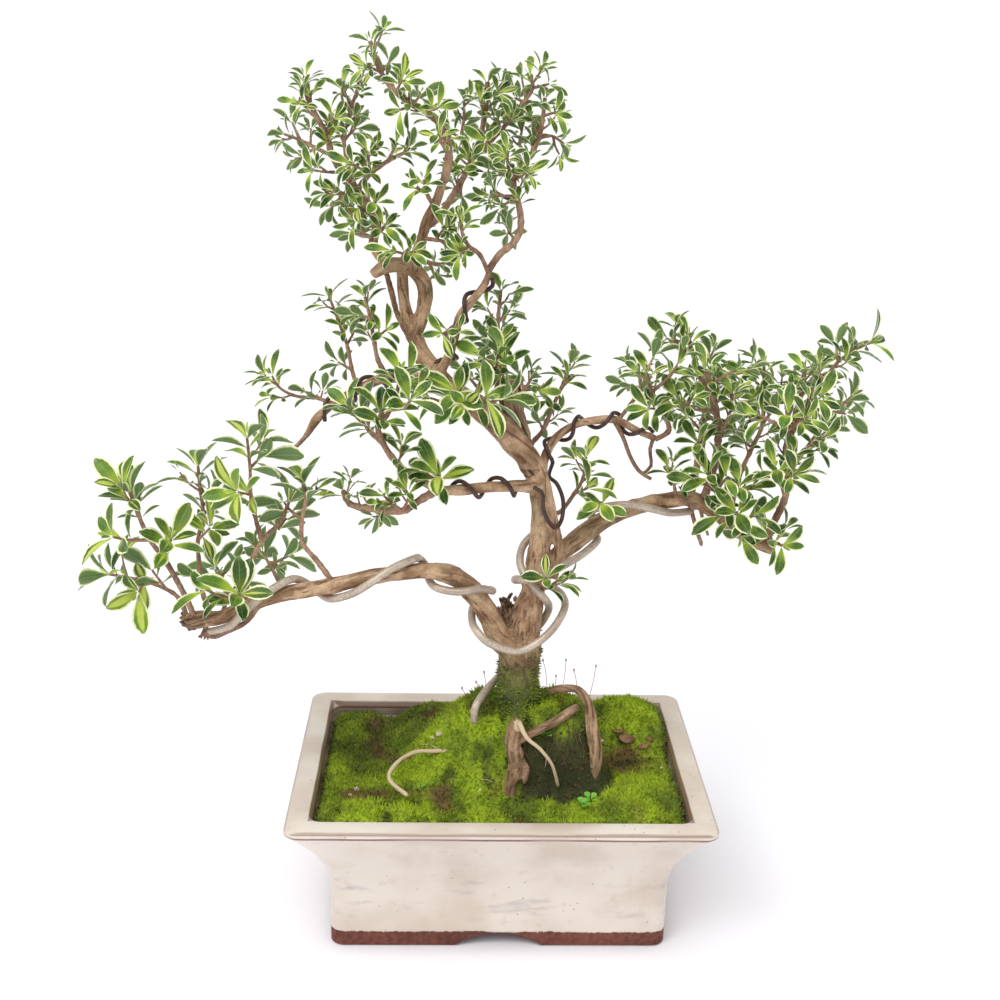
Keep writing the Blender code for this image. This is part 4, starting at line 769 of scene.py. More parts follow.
# %% The mottle that bark, moss, soil, glaze and clay share
def build_mottle():
    """Noise of two scales as one value, with its patches and its grain apart."""
    group = bpy.data.node_groups.new("mottle", "ShaderNodeTree")
    for name, kind in (("Vector", "NodeSocketVector"), ("Patch Scale", "NodeSocketFloat"),
                       ("Grain Scale", "NodeSocketFloat")):
        group.interface.new_socket(name, in_out="INPUT", socket_type=kind)
    for name in ("Patches", "Grain", "Both"):
        group.interface.new_socket(name, in_out="OUTPUT", socket_type="NodeSocketFloat")
    given = group.nodes.new("NodeGroupInput").outputs
    result = group.nodes.new("NodeGroupOutput").inputs
    patches = add(group, "TexNoise", {"Vector": given[0], "Scale": given[1], "Detail": 4.0}).outputs["Fac"]
    grain = add(group, "TexNoise", {"Vector": given[0], "Scale": given[2], "Detail": 2.0}).outputs["Fac"]
    patch_part = add(group, "Math", {0: patches, 1: 0.55}, operation="MULTIPLY").outputs[0]
    both = add(group, "Math", {0: grain, 1: 0.45, 2: patch_part}, operation="MULTIPLY_ADD").outputs[0]
    for name, source in (("Patches", patches), ("Grain", grain), ("Both", both)):
        group.links.new(source, result[name])
    return group


MOTTLE = build_mottle()
print("mottle group with", len(MOTTLE.nodes), "nodes")


# %% A finish and its steps
class Finish:
    """A mottled Principled material. Its methods are steps that give a node's output."""

    def __init__(self, name, roughness, patch_scale, grain_scale):
        self.material, self.tree, self.shader = new_material(name, roughness)
        self.where = self.node("TexCoord").outputs["Object"]
        scales = {"Vector": self.where, "Patch Scale": patch_scale, "Grain Scale": grain_scale}
        self.patches, self.grain, self.both = self.node("Group", scales, node_tree=MOTTLE).outputs

    def node(self, kind, links=None, **settings):
        return add(self.tree, kind, links, **settings)

    def calc(self, operation, a, b=0.0, c=0.0, clamp=False):
        return self.node("Math", {0: a, 1: b, 2: c}, operation=operation, use_clamp=clamp).outputs[0]

    def times(self, a, b, clamp=False):
        return self.calc("MULTIPLY", a, b, clamp=clamp)

    def plus(self, a, b, clamp=False):
        return self.calc("ADD", a, b, clamp=clamp)

    def scaled(self, value, factor, offset):
        return self.calc("MULTIPLY_ADD", value, factor, offset)

    def ramp(self, value, low, high, to_low=0.0, to_high=1.0):
        """A smooth step from to_low to to_high as the value goes from low to high."""
        return self.node("MapRange", {"Value": value, "From Min": low, "From Max": high, "To Min": to_low,
                                      "To Max": to_high}, interpolation_type="SMOOTHSTEP").outputs[0]

    def band(self, value, low, full_from, full_to, high):
        """A mask that is one from full_from to full_to and nought outside low and high."""
        return self.times(self.ramp(value, low, full_from), self.ramp(value, high, full_to))

    def blend(self, mask, first, second):
        """Two colours mixed by a mask. A colour is a socket or three numbers."""
        mixed = self.node("Mix", {"Factor": mask}, data_type="RGBA")
        for index, colour in ((6, first), (7, second)):
            if isinstance(colour, bpy.types.NodeSocket):
                self.tree.links.new(colour, mixed.inputs[index])
            else:
                mixed.inputs[index].default_value = (*colour, 1)
        return mixed.outputs[2]

    def tone(self, value, low, high, dark, light):
        """From the dark colour to the light one as the value goes from low to high."""
        return self.blend(self.ramp(value, low, high), dark, light)

    def layered(self, colour, *coats):
        """A colour with coats over it, each a mask and a colour."""
        for mask, coat in coats:
            colour = self.blend(mask, colour, coat)
        return colour

    def noise(self, where, scale, detail, roughness=0.55):
        return self.node("TexNoise", {"Vector": where, "Scale": scale, "Detail": detail,
                                      "Roughness": roughness}).outputs["Fac"]

    def marks(self, name):
        """The four values of a colour attribute."""
        attribute = self.node("Attribute", attribute_name=name).outputs
        return (*self.node("SeparateColor", {0: attribute["Color"]}).outputs, attribute["Alpha"])

    def drive(self, **sources):
        """Links outputs to the shader's inputs, named with underscores for spaces."""
        for name, source in sources.items():
            self.tree.links.new(source, self.shader.inputs[name.replace("_", " ")])

    def fix(self, **values):
        """Sets the shader's inputs to plain values."""
        for name, value in values.items():
            self.shader.inputs[name.replace("_", " ")].default_value = value

    def bump(self, height, strength, distance):
        bump = self.node("Bump", {"Height": height, "Strength": strength, "Distance": distance})
        self.drive(Normal=bump.outputs["Normal"])


# %% [markdown]
# ## The leaf's finish
# The real leaf is dark green with a thin cream margin, a paler midrib and faint side veins.
# Some leaves carry a cream flame along the midrib, the youngest are lime green, and the
# underside is pale grey-green. The leaf's own UV map tells the material how far a point lies
# from the midrib and along the blade, and an attribute says what kind of leaf it is.

# %% Leaf colours
LEAF_DARK = (0.012, 0.044, 0.010)
LEAF_GREEN = (0.080, 0.185, 0.018)
LEAF_YOUNG = (0.420, 0.600, 0.050)
LEAF_LIME = (0.470, 0.620, 0.050)
LEAF_VEIN = (0.26, 0.38, 0.12)
LEAF_RIB = (0.30, 0.42, 0.14)
LEAF_FLAME = (0.600, 0.680, 0.120)
LEAF_CREAM = (0.870, 0.900, 0.520)
LEAF_UNDER = (0.150, 0.240, 0.090)
UNDER_CREAM = (0.78, 0.80, 0.50)
UNDER_RIB = (0.46, 0.54, 0.34)
# Seven side veins along the blade, as an angle
VEIN_SWEEP = 44.0


def make_leaf_finish():
    leaf = Finish("variegated_leaf", 0.42, 260.0, 1500.0)
    place = leaf.node("SeparateXYZ", {0: leaf.node("UVMap", uv_map="blade").outputs[0]}).outputs
    across, along = leaf.calc("ABSOLUTE", leaf.scaled(place[0], 2.0, -1.0)), place[1]
    flame, young, under, lively = leaf.marks("leaf_mark")
    lightness = leaf.plus(leaf.ramp(leaf.both, 0.38, 0.62), leaf.scaled(lively, 1.4, -0.80), clamp=True)
    base_glow = leaf.times(leaf.ramp(along, 0.62, 0.12), leaf.scaled(lively, 0.9, 0.25), clamp=True)
    vein_phase = leaf.times(leaf.scaled(across, -0.16, along), VEIN_SWEEP)
    veins = leaf.times(leaf.ramp(leaf.calc("SINE", vein_phase), 0.78, 1.0), 0.12)
    rib = leaf.ramp(across, 0.08, 0.02, 0.0, 0.42)
    ragged = leaf.scaled(leaf.patches, 0.34, leaf.scaled(leaf.grain, 0.16, -0.25))
    flame_reach = leaf.scaled(along, -0.30, leaf.scaled(flame, 0.75, -0.02))
    in_flame = leaf.calc("SUBTRACT", flame_reach, leaf.plus(across, ragged))
    tip = leaf.ramp(along, 0.90, 1.0, 0.0, 0.16)
    edge = leaf.plus(leaf.plus(across, tip), leaf.times(ragged, 0.38))
    upper_side = leaf.layered(
        LEAF_DARK, (lightness, LEAF_GREEN), (base_glow, LEAF_LIME), (young, LEAF_YOUNG), (veins, LEAF_VEIN),
        (rib, LEAF_RIB), (leaf.ramp(in_flame, -0.05, 0.16, 0.0, 0.85), LEAF_FLAME),
        (leaf.ramp(edge, 0.70, 0.79), LEAF_CREAM))
    under_side = leaf.layered(LEAF_UNDER, (leaf.ramp(edge, 0.78, 0.86, 0.0, 0.8), UNDER_CREAM),
                              (rib, UNDER_RIB))
    leaf.drive(Base_Color=leaf.blend(under, upper_side, under_side),
               Roughness=leaf.ramp(leaf.grain, 0.3, 0.7, 0.34, 0.52))
    leaf.fix(Specular_IOR_Level=0.35, Subsurface_Weight=0.12, Subsurface_Radius=(0.5, 0.8, 0.2),
             Subsurface_Scale=0.002)
    sunk = leaf.times(leaf.plus(rib, veins), 1.2)
    leaf.bump(leaf.calc("SUBTRACT", leaf.grain, sunk), 0.35, 0.0004)
    return leaf.material


leaf_finish = make_leaf_finish()

# %% [markdown]
# ## Bark, twigs and dead wood
# The bark is a warm tan with pale and dark streaks that run along the limb, mossy where the
# trunk meets the roots. Cut and dead ends are darker and rough, bare roots over the moss are
# pale, and the young shoots go from red-brown to green. The attribute "wood_mark" says on
# each vertex how dead, how mossy, how young and how pale the wood is, and "wood_run" holds
# places that are drawn out along the limb, in which noise makes the streaks.

# %% The bark's finish
BARK_DARK, BARK_TAN = (0.290, 0.155, 0.075), (0.640, 0.420, 0.250)
BARK_STREAK, BARK_CRACK = (0.780, 0.600, 0.420), (0.095, 0.045, 0.022)
BARK_GRAIN, BARK_SCAR, BARK_OLIVE = (0.180, 0.100, 0.060), (0.100, 0.055, 0.034), (0.200, 0.170, 0.070)
DEAD_DARK, DEAD_LIGHT = (0.040, 0.024, 0.013), (0.420, 0.260, 0.140)
TWIG_DARK, TWIG_LIGHT = (0.170, 0.075, 0.045), (0.480, 0.300, 0.200)
FILM_DARK, FILM_LIGHT = (0.016, 0.024, 0.004), (0.105, 0.145, 0.012)
ROOT_PALE = (0.640, 0.500, 0.330)


def make_bark_finish():
    bark = Finish("tan_bark", 0.8, 95.0, 900.0)
    dead, mossy, young, pale = bark.marks("wood_mark")
    run = bark.node("Attribute", attribute_name="wood_run").outputs["Vector"]
    streaks = bark.noise(run, 520.0, 4.0, 0.6)
    scars = bark.node("TexVoronoi", {"Vector": bark.where, "Scale": 120.0}).outputs["Distance"]
    olive = bark.ramp(bark.noise(bark.where, 60.0, 4.0, 0.6), 0.50, 0.66, 0.0, 0.40)
    film = bark.plus(mossy, bark.scaled(bark.patches, 0.9, -0.45))
    colour = bark.layered(
        bark.tone(bark.patches, 0.36, 0.64, BARK_DARK, BARK_TAN),
        (bark.ramp(streaks, 0.52, 0.72, 0.0, 0.65), BARK_STREAK),
        (bark.ramp(streaks, 0.47, 0.36, 0.0, 0.85), BARK_CRACK),
        (bark.ramp(bark.grain, 0.36, 0.60, 0.30, 0.0), BARK_GRAIN),
        (bark.ramp(scars, 0.16, 0.08, 0.0, 0.5), BARK_SCAR),
        (olive, BARK_OLIVE),
        (dead, bark.tone(streaks, 0.35, 0.65, DEAD_DARK, DEAD_LIGHT)),
        (young, bark.tone(bark.both, 0.35, 0.65, TWIG_DARK, TWIG_LIGHT)),
        (bark.times(bark.ramp(film, 0.30, 0.72), mossy, clamp=True),
         bark.tone(bark.both, 0.35, 0.65, FILM_DARK, FILM_LIGHT)),
        (pale, ROOT_PALE))
    bark.drive(Base_Color=colour, Roughness=bark.ramp(bark.grain, 0.3, 0.7, 0.66, 0.90))
    bark.bump(bark.plus(bark.times(bark.grain, 0.4), bark.times(streaks, 1.4)), 0.6, 0.0008)
    return bark.material


bark_finish = make_bark_finish()

# %% Moss and soil
MOSS_DARK, MOSS_LIGHT, MOSS_GRAIN = (0.036, 0.085, 0.005), (0.325, 0.465, 0.010), (0.014, 0.030, 0.003)
MOSS_TIP, MOSS_BROWN = (0.640, 0.790, 0.040), (0.150, 0.085, 0.030)
# Dark soil and dark moss, and painted shade in the moss's hollows, along the mat's border and on the root
# ball's face, with a dimmer copy of the moss tips for those places
DARK_PATCH_AND_SHADE_LOW, DARK_PATCH_AND_SHADE_HIGH, DARK_PATCH_AND_SHADE_TIP = (0.009, 0.008, 0.003), (0.040, 0.038, 0.011), (0.230, 0.320, 0.030)
SOIL_DARK, SOIL_LIGHT = (0.014, 0.009, 0.005), (0.120, 0.070, 0.036)


def make_moss_finish():
    moss = Finish("moss", 0.9, 48.0, 700.0)
    tip, brown, dark, _ = moss.marks("moss_mark")
    # The third mark darkens the moss to dark soil and dark moss, and to painted shade
    dark_patch_and_shade = moss.tone(moss.both, 0.40, 0.60, DARK_PATCH_AND_SHADE_LOW, DARK_PATCH_AND_SHADE_HIGH)
    colour = moss.layered(
        moss.tone(moss.patches, 0.40, 0.60, MOSS_DARK, MOSS_LIGHT),
        (moss.ramp(moss.grain, 0.34, 0.66, 0.5, 0.0), MOSS_GRAIN),
        (moss.times(tip, 0.72), MOSS_TIP),
        (brown, MOSS_BROWN),
        (dark, moss.blend(moss.times(tip, 0.45), dark_patch_and_shade, DARK_PATCH_AND_SHADE_TIP)))
    moss.drive(Base_Color=colour)
    moss.bump(moss.grain, 0.6, 0.0008)
    return moss.material


def make_soil_finish():
    soil = Finish("dark_soil", 0.95, 120.0, 520.0)
    soil.drive(Base_Color=soil.tone(soil.both, 0.36, 0.66, SOIL_DARK, SOIL_LIGHT))
    soil.bump(soil.both, 0.9, 0.0020)
    return soil.material


# %% The pot's glaze
RIM_TOP = pot_high.z
POT_HALF = Vector(((pot_high.x - pot_low.x) / 2, (pot_high.y - pot_low.y) / 2, 0))
GLAZE_WARM, GLAZE_CREAM = (0.640, 0.545, 0.450), (0.770, 0.690, 0.605)
GLAZE_STAIN, GLAZE_SPOT, GLAZE_SMUDGE = (0.560, 0.440, 0.340), (0.230, 0.120, 0.070), (0.330, 0.280, 0.300)
GLAZE_EDGE, GLAZE_LIP, GLAZE_INSIDE = (0.200, 0.090, 0.055), (0.170, 0.065, 0.045), (0.170, 0.095, 0.080)
CLAY_DARK, CLAY_RED = (0.100, 0.028, 0.018), (0.210, 0.070, 0.045)


def below_rim(*drops):
    return [RIM_TOP - drop * MM for drop in drops]


def make_glaze_finish():
    """Cream glaze, thin and brown over the rim's edges, stained on the front, red clay below."""
    glaze = Finish("cream_glaze", 0.28, 26.0, 420.0)
    place = glaze.node("SeparateXYZ", {0: glaze.where}).outputs
    height = place[2]
    beyond = []
    for i in (0, 1):
        from_middle = glaze.calc("ABSOLUTE", glaze.calc("SUBTRACT", place[i], POT_MIDDLE[i]))
        beyond.append(glaze.calc("SUBTRACT", from_middle, POT_HALF[i]))
    from_side = glaze.calc("MAXIMUM", *beyond)
    edge = glaze.plus(from_side, glaze.scaled(glaze.patches, 0.0016, -0.0008))
    outer_line = glaze.times(glaze.times(glaze.ramp(edge, -0.0016, -0.0004), 0.85),
                             glaze.ramp(height, *below_rim(1.8, 0.8)))
    inner_line = glaze.times(glaze.band(edge, -0.0132, -0.0120, -0.0111, -0.0102),
                             glaze.ramp(height, *below_rim(4.5, 3.0)))
    rim_lines = glaze.times(glaze.calc("MAXIMUM", outer_line, inner_line), 0.85)
    lip_height = glaze.plus(height, glaze.scaled(glaze.patches, 0.0014, -0.0007))
    under_lip = glaze.band(lip_height, *below_rim(4.2, 3.6, 2.8, 2.2))
    inside = glaze.times(glaze.ramp(from_side, -0.0106, -0.0116),
                         glaze.band(height, *below_rim(15, 13, 6, 1)))
    spots = glaze.node("TexVoronoi", {"Vector": glaze.where, "Scale": 140.0}).outputs["Distance"]
    stretched = glaze.node("Mapping", {"Vector": glaze.where, "Scale": (0.55, 1.0, 2.2)}).outputs[0]
    smudge = glaze.ramp(glaze.noise(stretched, 60.0, 6.0, 0.65), 0.52, 0.70, 0.0, 0.42)
    clay_line = glaze.plus(height, glaze.scaled(glaze.both, 0.004, -0.002))
    clay = glaze.ramp(clay_line, 0.0086, 0.0078)
    colour = glaze.layered(
        glaze.tone(glaze.patches, 0.36, 0.66, GLAZE_WARM, GLAZE_CREAM),
        (glaze.ramp(glaze.noise(glaze.where, 150.0, 5.0), 0.58, 0.72, 0.0, 0.35), GLAZE_STAIN),
        (glaze.ramp(spots, 0.085, 0.045, 0.0, 0.55), GLAZE_SPOT),
        (rim_lines, GLAZE_EDGE),
        (glaze.times(under_lip, glaze.ramp(glaze.patches, 0.36, 0.58, 0.60, 1.0)), GLAZE_LIP),
        (glaze.times(inside, glaze.ramp(glaze.patches, 0.34, 0.60, 0.35, 0.9)), GLAZE_INSIDE),
        (glaze.times(smudge, glaze.band(height, 0.010, 0.020, 0.034, 0.050)), GLAZE_SMUDGE),
        (clay, glaze.tone(glaze.both, 0.35, 0.65, CLAY_DARK, CLAY_RED)))
    glaze.drive(Base_Color=colour, Roughness=glaze.scaled(clay, 0.59, 0.26),
                Coat_Weight=glaze.scaled(clay, -0.35, 0.35))
    glaze.fix(Coat_Roughness=0.12)
    glaze.bump(glaze.plus(glaze.patches, glaze.times(glaze.grain, 0.12)), 0.30, 0.0012)
    return glaze.material


# %% Wires and small things
def make_wire_finish(name, light, dark, roughness):
    wire = Finish(name, roughness, 70.0, 900.0)
    wire.drive(Base_Color=wire.tone(wire.both, 0.38, 0.62, dark, light),
               Roughness=wire.ramp(wire.grain, 0.3, 0.7, roughness - 0.08, roughness + 0.12))
    wire.fix(Metallic=0.35)
    wire.bump(wire.grain, 0.15, 0.0002)
    return wire.material


def flat_finish(name, dark, light, roughness):
    flat = Finish(name, roughness, 160.0, 1100.0)
    flat.drive(Base_Color=flat.tone(flat.both, 0.36, 0.64, dark, light))
    flat.bump(flat.grain, 0.4, 0.0004)
    return flat.material


moss_finish = make_moss_finish()
soil_finish = make_soil_finish()
glaze_finish = make_glaze_finish()
silver_finish = make_wire_finish("aluminium_wire", (0.62, 0.52, 0.42), (0.42, 0.33, 0.26), 0.42)
brown_finish = make_wire_finish("brown_wire", (0.115, 0.062, 0.045), (0.050, 0.026, 0.020), 0.38)
print("finishes:", ", ".join(m.name for m in bpy.data.materials))

# %% [markdown]
# ## Pieces
# Every piece is made in the pot's own coordinates, as the lines are, and is then moved by the
# pot's place in the frame, with the place kept in its mesh. `settle` does that, and lets the
# piece ride on the one body that a thing without joints has.

# %% From a mesh to a finished piece
object_pieces = bpy.data.collections.new("serissa_bonsai")
bpy.context.scene.collection.children.link(object_pieces)


def mesh_of(bm, name):
    """Turns a bmesh into a mesh and frees it."""
    mesh = bpy.data.meshes.new(name)
    bm.to_mesh(mesh)
    bm.free()
    return mesh


def linked(name, data):
    """An object in the scene that isn't a piece: a helper, the floor, a light or the camera."""
    made = bpy.data.objects.new(name, data)
    bpy.context.scene.collection.objects.link(made)
    return made


def evaluated_mesh(holder):
    """The mesh that an object's curve or modifiers give."""
    bpy.context.view_layer.update()
    return bpy.data.meshes.new_from_object(holder.evaluated_get(bpy.context.evaluated_depsgraph_get()))


def settle(name, bm, finishes, replaces=(), smooth=True):
    bmesh.ops.translate(bm, verts=bm.verts, vec=POT_MIDDLE)
    mesh = mesh_of(bm, name)
    piece = bpy.data.objects.new(name, mesh)
    object_pieces.objects.link(piece)
    for finish in finishes:
        mesh.materials.append(finish)
    mesh.polygons.foreach_set("use_smooth", [smooth] * len(mesh.polygons))
    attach(piece, "root")
    if replaces:
        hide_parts(*replaces)
    return piece


def tube_mesh(line, radii, sides):
    """A closed tube along a line with a radius at each point, as a bmesh."""
    curve = bpy.data.curves.new("tube", "CURVE")
    curve.dimensions = "3D"
    curve.bevel_depth = 1
    curve.bevel_resolution = (sides - 4) // 2
    curve.use_fill_caps = True
    spline = curve.splines.new("POLY")
    spline.points.add(len(line) - 1)
    for point, place, radius in zip(spline.points, line, radii):
        point.co = (*place, 1)
        point.radius = radius
    drawn = linked("tube", curve)
    mesh = evaluated_mesh(drawn)
    bpy.data.objects.remove(drawn)
    bpy.data.curves.remove(curve)
    bm = bmesh.new()
    bm.from_mesh(mesh)
    bpy.data.meshes.remove(mesh)
    bmesh.ops.remove_doubles(bm, verts=bm.verts, dist=1e-6)
    bmesh.ops.recalc_face_normals(bm, faces=bm.faces)
    return bm


def join(bm, other):
    """Moves another bmesh into bm."""
    mesh = mesh_of(other, "joined")
    bm.from_mesh(mesh)
    bpy.data.meshes.remove(mesh)


# %% [markdown]
# ## The trunk, limbs and roots
# Fine tubes along the limbs are melted into one skin with a voxel remesh, which fills the
# crotches as growth does. Then noise that is drawn out along each limb raises ridges in the
# bark, and torn fibres stand on its broken ends. Thin twigs would be lost in the voxels, so
# they stay tubes.

# %% Fine lines for the wood
PALE_ROOTS = ("root_thread", "root_surface")
fine_wood = {name: traced(places, radii, 0.003) for name, (places, radii) in WOOD.items()}

# %% One skin over the limbs
SKINNED_FROM = 1.45 * MM
LEAST_IN_SKIN = 1.25 * MM
VOXEL = 0.00085
KNOBS = 0.14
SURFACE_ROOT_SHARE = 0.72
TRUNK_SLIMMING = 0.15
SLIM_LOW, SLIM_HIGH = seen((530, 612, 0)).z, seen((526, 455, 0)).z
SLIM_FADE_LOW, SLIM_FADE_HIGH = 0.010, 0.012


def slimmed(name, place, radius):
    """The trunk's middle and the pale root, which are a little thinner than in the solid."""
    if name == "root_surface":
        return radius * SURFACE_ROOT_SHARE
    if name != "trunk":
        return radius
    share = clamped((place.z - SLIM_LOW) / SLIM_FADE_LOW) * clamped((SLIM_HIGH - place.z) / SLIM_FADE_HIGH)
    return radius * (1 - TRUNK_SLIMMING * share)


def wood_skin():
    bm = bmesh.new()
    for name, (line, radii) in fine_wood.items():
        if max(radii) > SKINNED_FROM:
            shift = Vector((len(name), 0, 0))
            knobbly = [slimmed(name, p, r) * (1 + KNOBS * noise.noise(p * 130 + shift))
                       for p, r in zip(line, radii)]
            join(bm, tube_mesh(line, [max(r, LEAST_IN_SKIN) for r in knobbly], 12))
    holder = linked("wood_skin", mesh_of(bm, "wood_skin"))
    remesh = holder.modifiers.new("skin", "REMESH")
    remesh.mode = "VOXEL"
    remesh.voxel_size = VOXEL
    skin = evaluated_mesh(holder)
    bpy.data.objects.remove(holder)
    bm = bmesh.new()
    bm.from_mesh(skin)
    for _ in range(3):
        bmesh.ops.smooth_vert(bm, verts=bm.verts, factor=0.5, use_axis_x=True, use_axis_y=True,
                              use_axis_z=True)
    return bm


def nearest_wood():
    """Finds the limb point nearest to a place: its name, radius and direction."""
    found = []
    for name, (line, radii) in fine_wood.items():
        run = 0.0
        for i, point in enumerate(line):
            ahead = (line[min(i + 1, len(line) - 1)] - line[max(i - 1, 0)]).normalized()
            run += (point - line[i - 1]).length if i else 0
            found.append((point, name, radii[i], ahead, run))
    search = kdtree.KDTree(len(found))
    for i, (point, *_) in enumerate(found):
        search.insert(point, i)
    search.balance()
    return lambda place: found[search.find(place)[1]]


nearest = nearest_wood()


# %% The bark's relief
RUN_SHARE = 1 / 8
RIDGE_HEIGHT, PLATE_HEIGHT, LUMP_HEIGHT = 0.00034, 0.00022, 0.0007
FULL_RELIEF_RADIUS = 6 * MM


def run_place(place):
    """A place whose distance along the limb counts an eighth, so that noise makes streaks."""
    point, _, _, ahead, run = nearest(place)
    off = place - point
    beside = off - ahead * off.dot(ahead)
    return beside + Vector((1, 1, 1)) * (run + off.dot(ahead)) * RUN_SHARE


def bark_height(place, radius, rough):
    """How far the bark stands out: long ridges along the limb, knots across it."""
    ridges = 1 - 2 * abs(noise.noise(run_place(place) * 420))
    plates = noise.noise(place * 240)
    lumps = noise.noise(place * 70)
    size = min(radius / FULL_RELIEF_RADIUS, 1.3)
    return (RIDGE_HEIGHT * ridges + PLATE_HEIGHT * plates) * size * rough + LUMP_HEIGHT * lumps * size


# %% Broken ends
# Each broken end: its place, the way it points and its width in millimetres
BROKEN_ENDS = (((187, 622, -28), (-1, 0, 0.1), 3.0), ((206, 633, -24), (-0.6, -0.3, -0.9), 1.8),
               ((507, 605, 6), (-0.2, 0, 1), 3.0))
FIBRES = 18
SUNK = 2 * MM


def splinters():
    """Short torn fibres that stand out of the broken ends."""
    draw = random.Random(8)

    def scatter(spread):
        return Vector((draw.gauss(0, spread), draw.gauss(0, spread), draw.gauss(0, spread)))

    bm = bmesh.new()
    for end, way, wide in BROKEN_ENDS:
        for _ in range(FIBRES):
            off = scatter(0.45) * wide * MM
            aim = (Vector(way) + scatter(0.4)).normalized()
            reach = draw.uniform(1.2, 4.0) * MM
            start = seen(end) + off - aim * SUNK
            places = [start, start + aim * (SUNK + reach * 0.6), start + aim * (SUNK + reach)]
            join(bm, tube_mesh(places, [0.75 * MM, 0.5 * MM, 0.15 * MM], 5))
    return bm


# %% What the wood is like at each place
FOOT = seen((519, 712, -2))
FOOT_REACH, FOOT_FADE = 0.0240, 0.006
MOSSY_TO, MOSSY_FADE = 0.110, 0.050
MOSS_CLIMBS_FROM, MOSS_CLIMBS_TO = 0.078, 0.150
YOUNG_TO, YOUNG_FADE = 0.0012, 0.0012
LEFT_LIMB_END = seen((206, 620, -28)).x


def at_foot(place):
    """One on the swelling where the trunk meets the roots, nought on the roots farther out."""
    return clamped((FOOT_REACH - (place - FOOT).length) / FOOT_FADE)


def deadness(name, place):
    if name.startswith("root"):
        return 0.0 if name in PALE_ROOTS else 0.55
    if name == "left_limb":
        return 0.9 if place.x < LEFT_LIMB_END else 0.0
    return 1.0 if name.startswith("dead") or name == "old_stub" else 0.0


def dress_bark(bm):
    """Gives each vertex its marks and raises the bark's relief."""
    mark = bm.verts.layers.float_color.new("wood_mark")
    run_layer = bm.verts.layers.float_vector.new("wood_run")
    bm.normal_update()
    moves = []
    for vert in bm.verts:
        _, name, radius, _, _ = nearest(vert.co)
        vert[run_layer] = run_place(vert.co)
        root, dead = name.startswith("root"), deadness(name, vert.co)
        mossy = 1 - clamped((vert.co.z - MOSSY_TO) / MOSSY_FADE)
        if root:
            mossy *= max(0.15, at_foot(vert.co))
        young = 1 - clamped((radius - YOUNG_TO) / YOUNG_FADE)
        vert[mark] = (dead, mossy, young * 0.8, 1.0 if name in PALE_ROOTS else 0.0)
        torn = dead > 0.5 and radius > 0.002
        rough = 2.3 if root else 3.2 if torn else 1.0
        moves.append((vert, vert.normal * bark_height(vert.co, radius, rough)))
    for vert, move in moves:
        vert.co += move


tree_mesh = wood_skin()
for line, radii in fine_wood.values():
    if max(radii) <= SKINNED_FROM:
        join(tree_mesh, tube_mesh(line, radii, 8))
join(tree_mesh, splinters())
dress_bark(tree_mesh)
tree_mesh.normal_update()
mossy_bark = [(v.co.copy(), v.normal.copy()) for v in tree_mesh.verts
              if MOSS_CLIMBS_FROM < v.co.z < MOSS_CLIMBS_TO
              and (nearest(v.co)[1] == "trunk" or at_foot(v.co) > 0.2)]
print("bark skin of", len(tree_mesh.faces), "faces")
settle("bark_skin", tree_mesh, [bark_finish], ["tree"])

# %% [markdown]
# ## Leaves
# A leaf starts as a flat grid. Its rows are drawn in to the outline, the halves are folded up
# from the midrib, the blade is arched and the margin gets a slight wave. A copy of the grid,
# turned over and merged with it along the rim, is the under side. A few such blades with
# different bends are then set by the rule of each tuft.

# %% The leaf's outline
BLADE_WIDTHS = ((0.0, 0.020), (0.08, 0.034), (0.20, 0.094), (0.34, 0.162), (0.48, 0.212), (0.62, 0.234),
                (0.75, 0.220), (0.86, 0.170), (0.94, 0.105), (1.0, 0.040))


def blade_width(along):
    """Half the blade's width at a place along it, both in lengths."""
    for (start, wide), (end, next_wide) in zip(BLADE_WIDTHS, BLADE_WIDTHS[1:]):
        if along <= end:
            share = (along - start) / (end - start)
            return wide + (next_wide - wide) * share
    return 0.0


# %% One leaf from a grid
def leaf_blade(bend, fold, wave, width=1.0, rows=6):
    """A leaf one unit long along Y, its upper side to +Z, as thin as a lens at its margin."""
    bm = bmesh.new()
    bm.loops.layers.uv.new("blade")
    bmesh.ops.create_grid(bm, x_segments=4, y_segments=rows, size=0.5, calc_uvs=True)
    upper = list(bm.verts)
    doubled = bmesh.ops.duplicate(bm, geom=list(bm.faces))
    low = [item for item in doubled["geom"] if isinstance(item, bmesh.types.BMFace)]
    bmesh.ops.reverse_faces(bm, faces=low)
    for vert in bm.verts:
        across, along = vert.co.x * 2, 0.5 + vert.co.y
        along = along + 0.10 * along * (1 - along)
        wide = blade_width(along) * width
        lift = fold * abs(across) * wide / 0.22 * 0.08
        arch = 0.045 * math.sin(math.pi * along) - bend * along**2
        ripple = wave * abs(across) ** 3 * math.sin(along * 17 + across * 2)
        body = 0.022 * (1 - across**2) * min(1, 6 * along, 6 * (1 - along))
        vert.co = Vector((across * wide, along, lift + arch + ripple + body / 2))
        if vert not in upper:
            vert.co.z -= body
    for edge in bm.edges:
        edge.smooth = not edge.is_boundary
    bmesh.ops.remove_doubles(bm, verts=bm.verts, dist=1e-4)
    return bm


test_leaf = leaf_blade(0.08, 1.0, 0.004)
open_edges = sum(1 for edge in test_leaf.edges if not edge.is_manifold)
print("one leaf:", len(test_leaf.faces), "faces, open edges", open_edges)
test_leaf.free()


# %% The blades that every leaf is one of
BENDS = ((0.05, 1.1, 0.004), (0.10, 0.8, 0.008), (0.02, 1.4, 0.003), (0.15, 1.0, 0.006))


def stored(bm, name):
    """Keeps a blade as a mesh, marked on its under side."""
    under = bm.verts.layers.float.new("under")
    bm.normal_update()
    for vert in bm.verts:
        vert[under] = 1.0 if vert.normal.z < -0.1 else 0.0
    return mesh_of(bm, name)


blade_meshes = [stored(leaf_blade(*bend), "blade") for bend in BENDS]
print("blades of", [len(mesh.polygons) for mesh in blade_meshes], "faces")


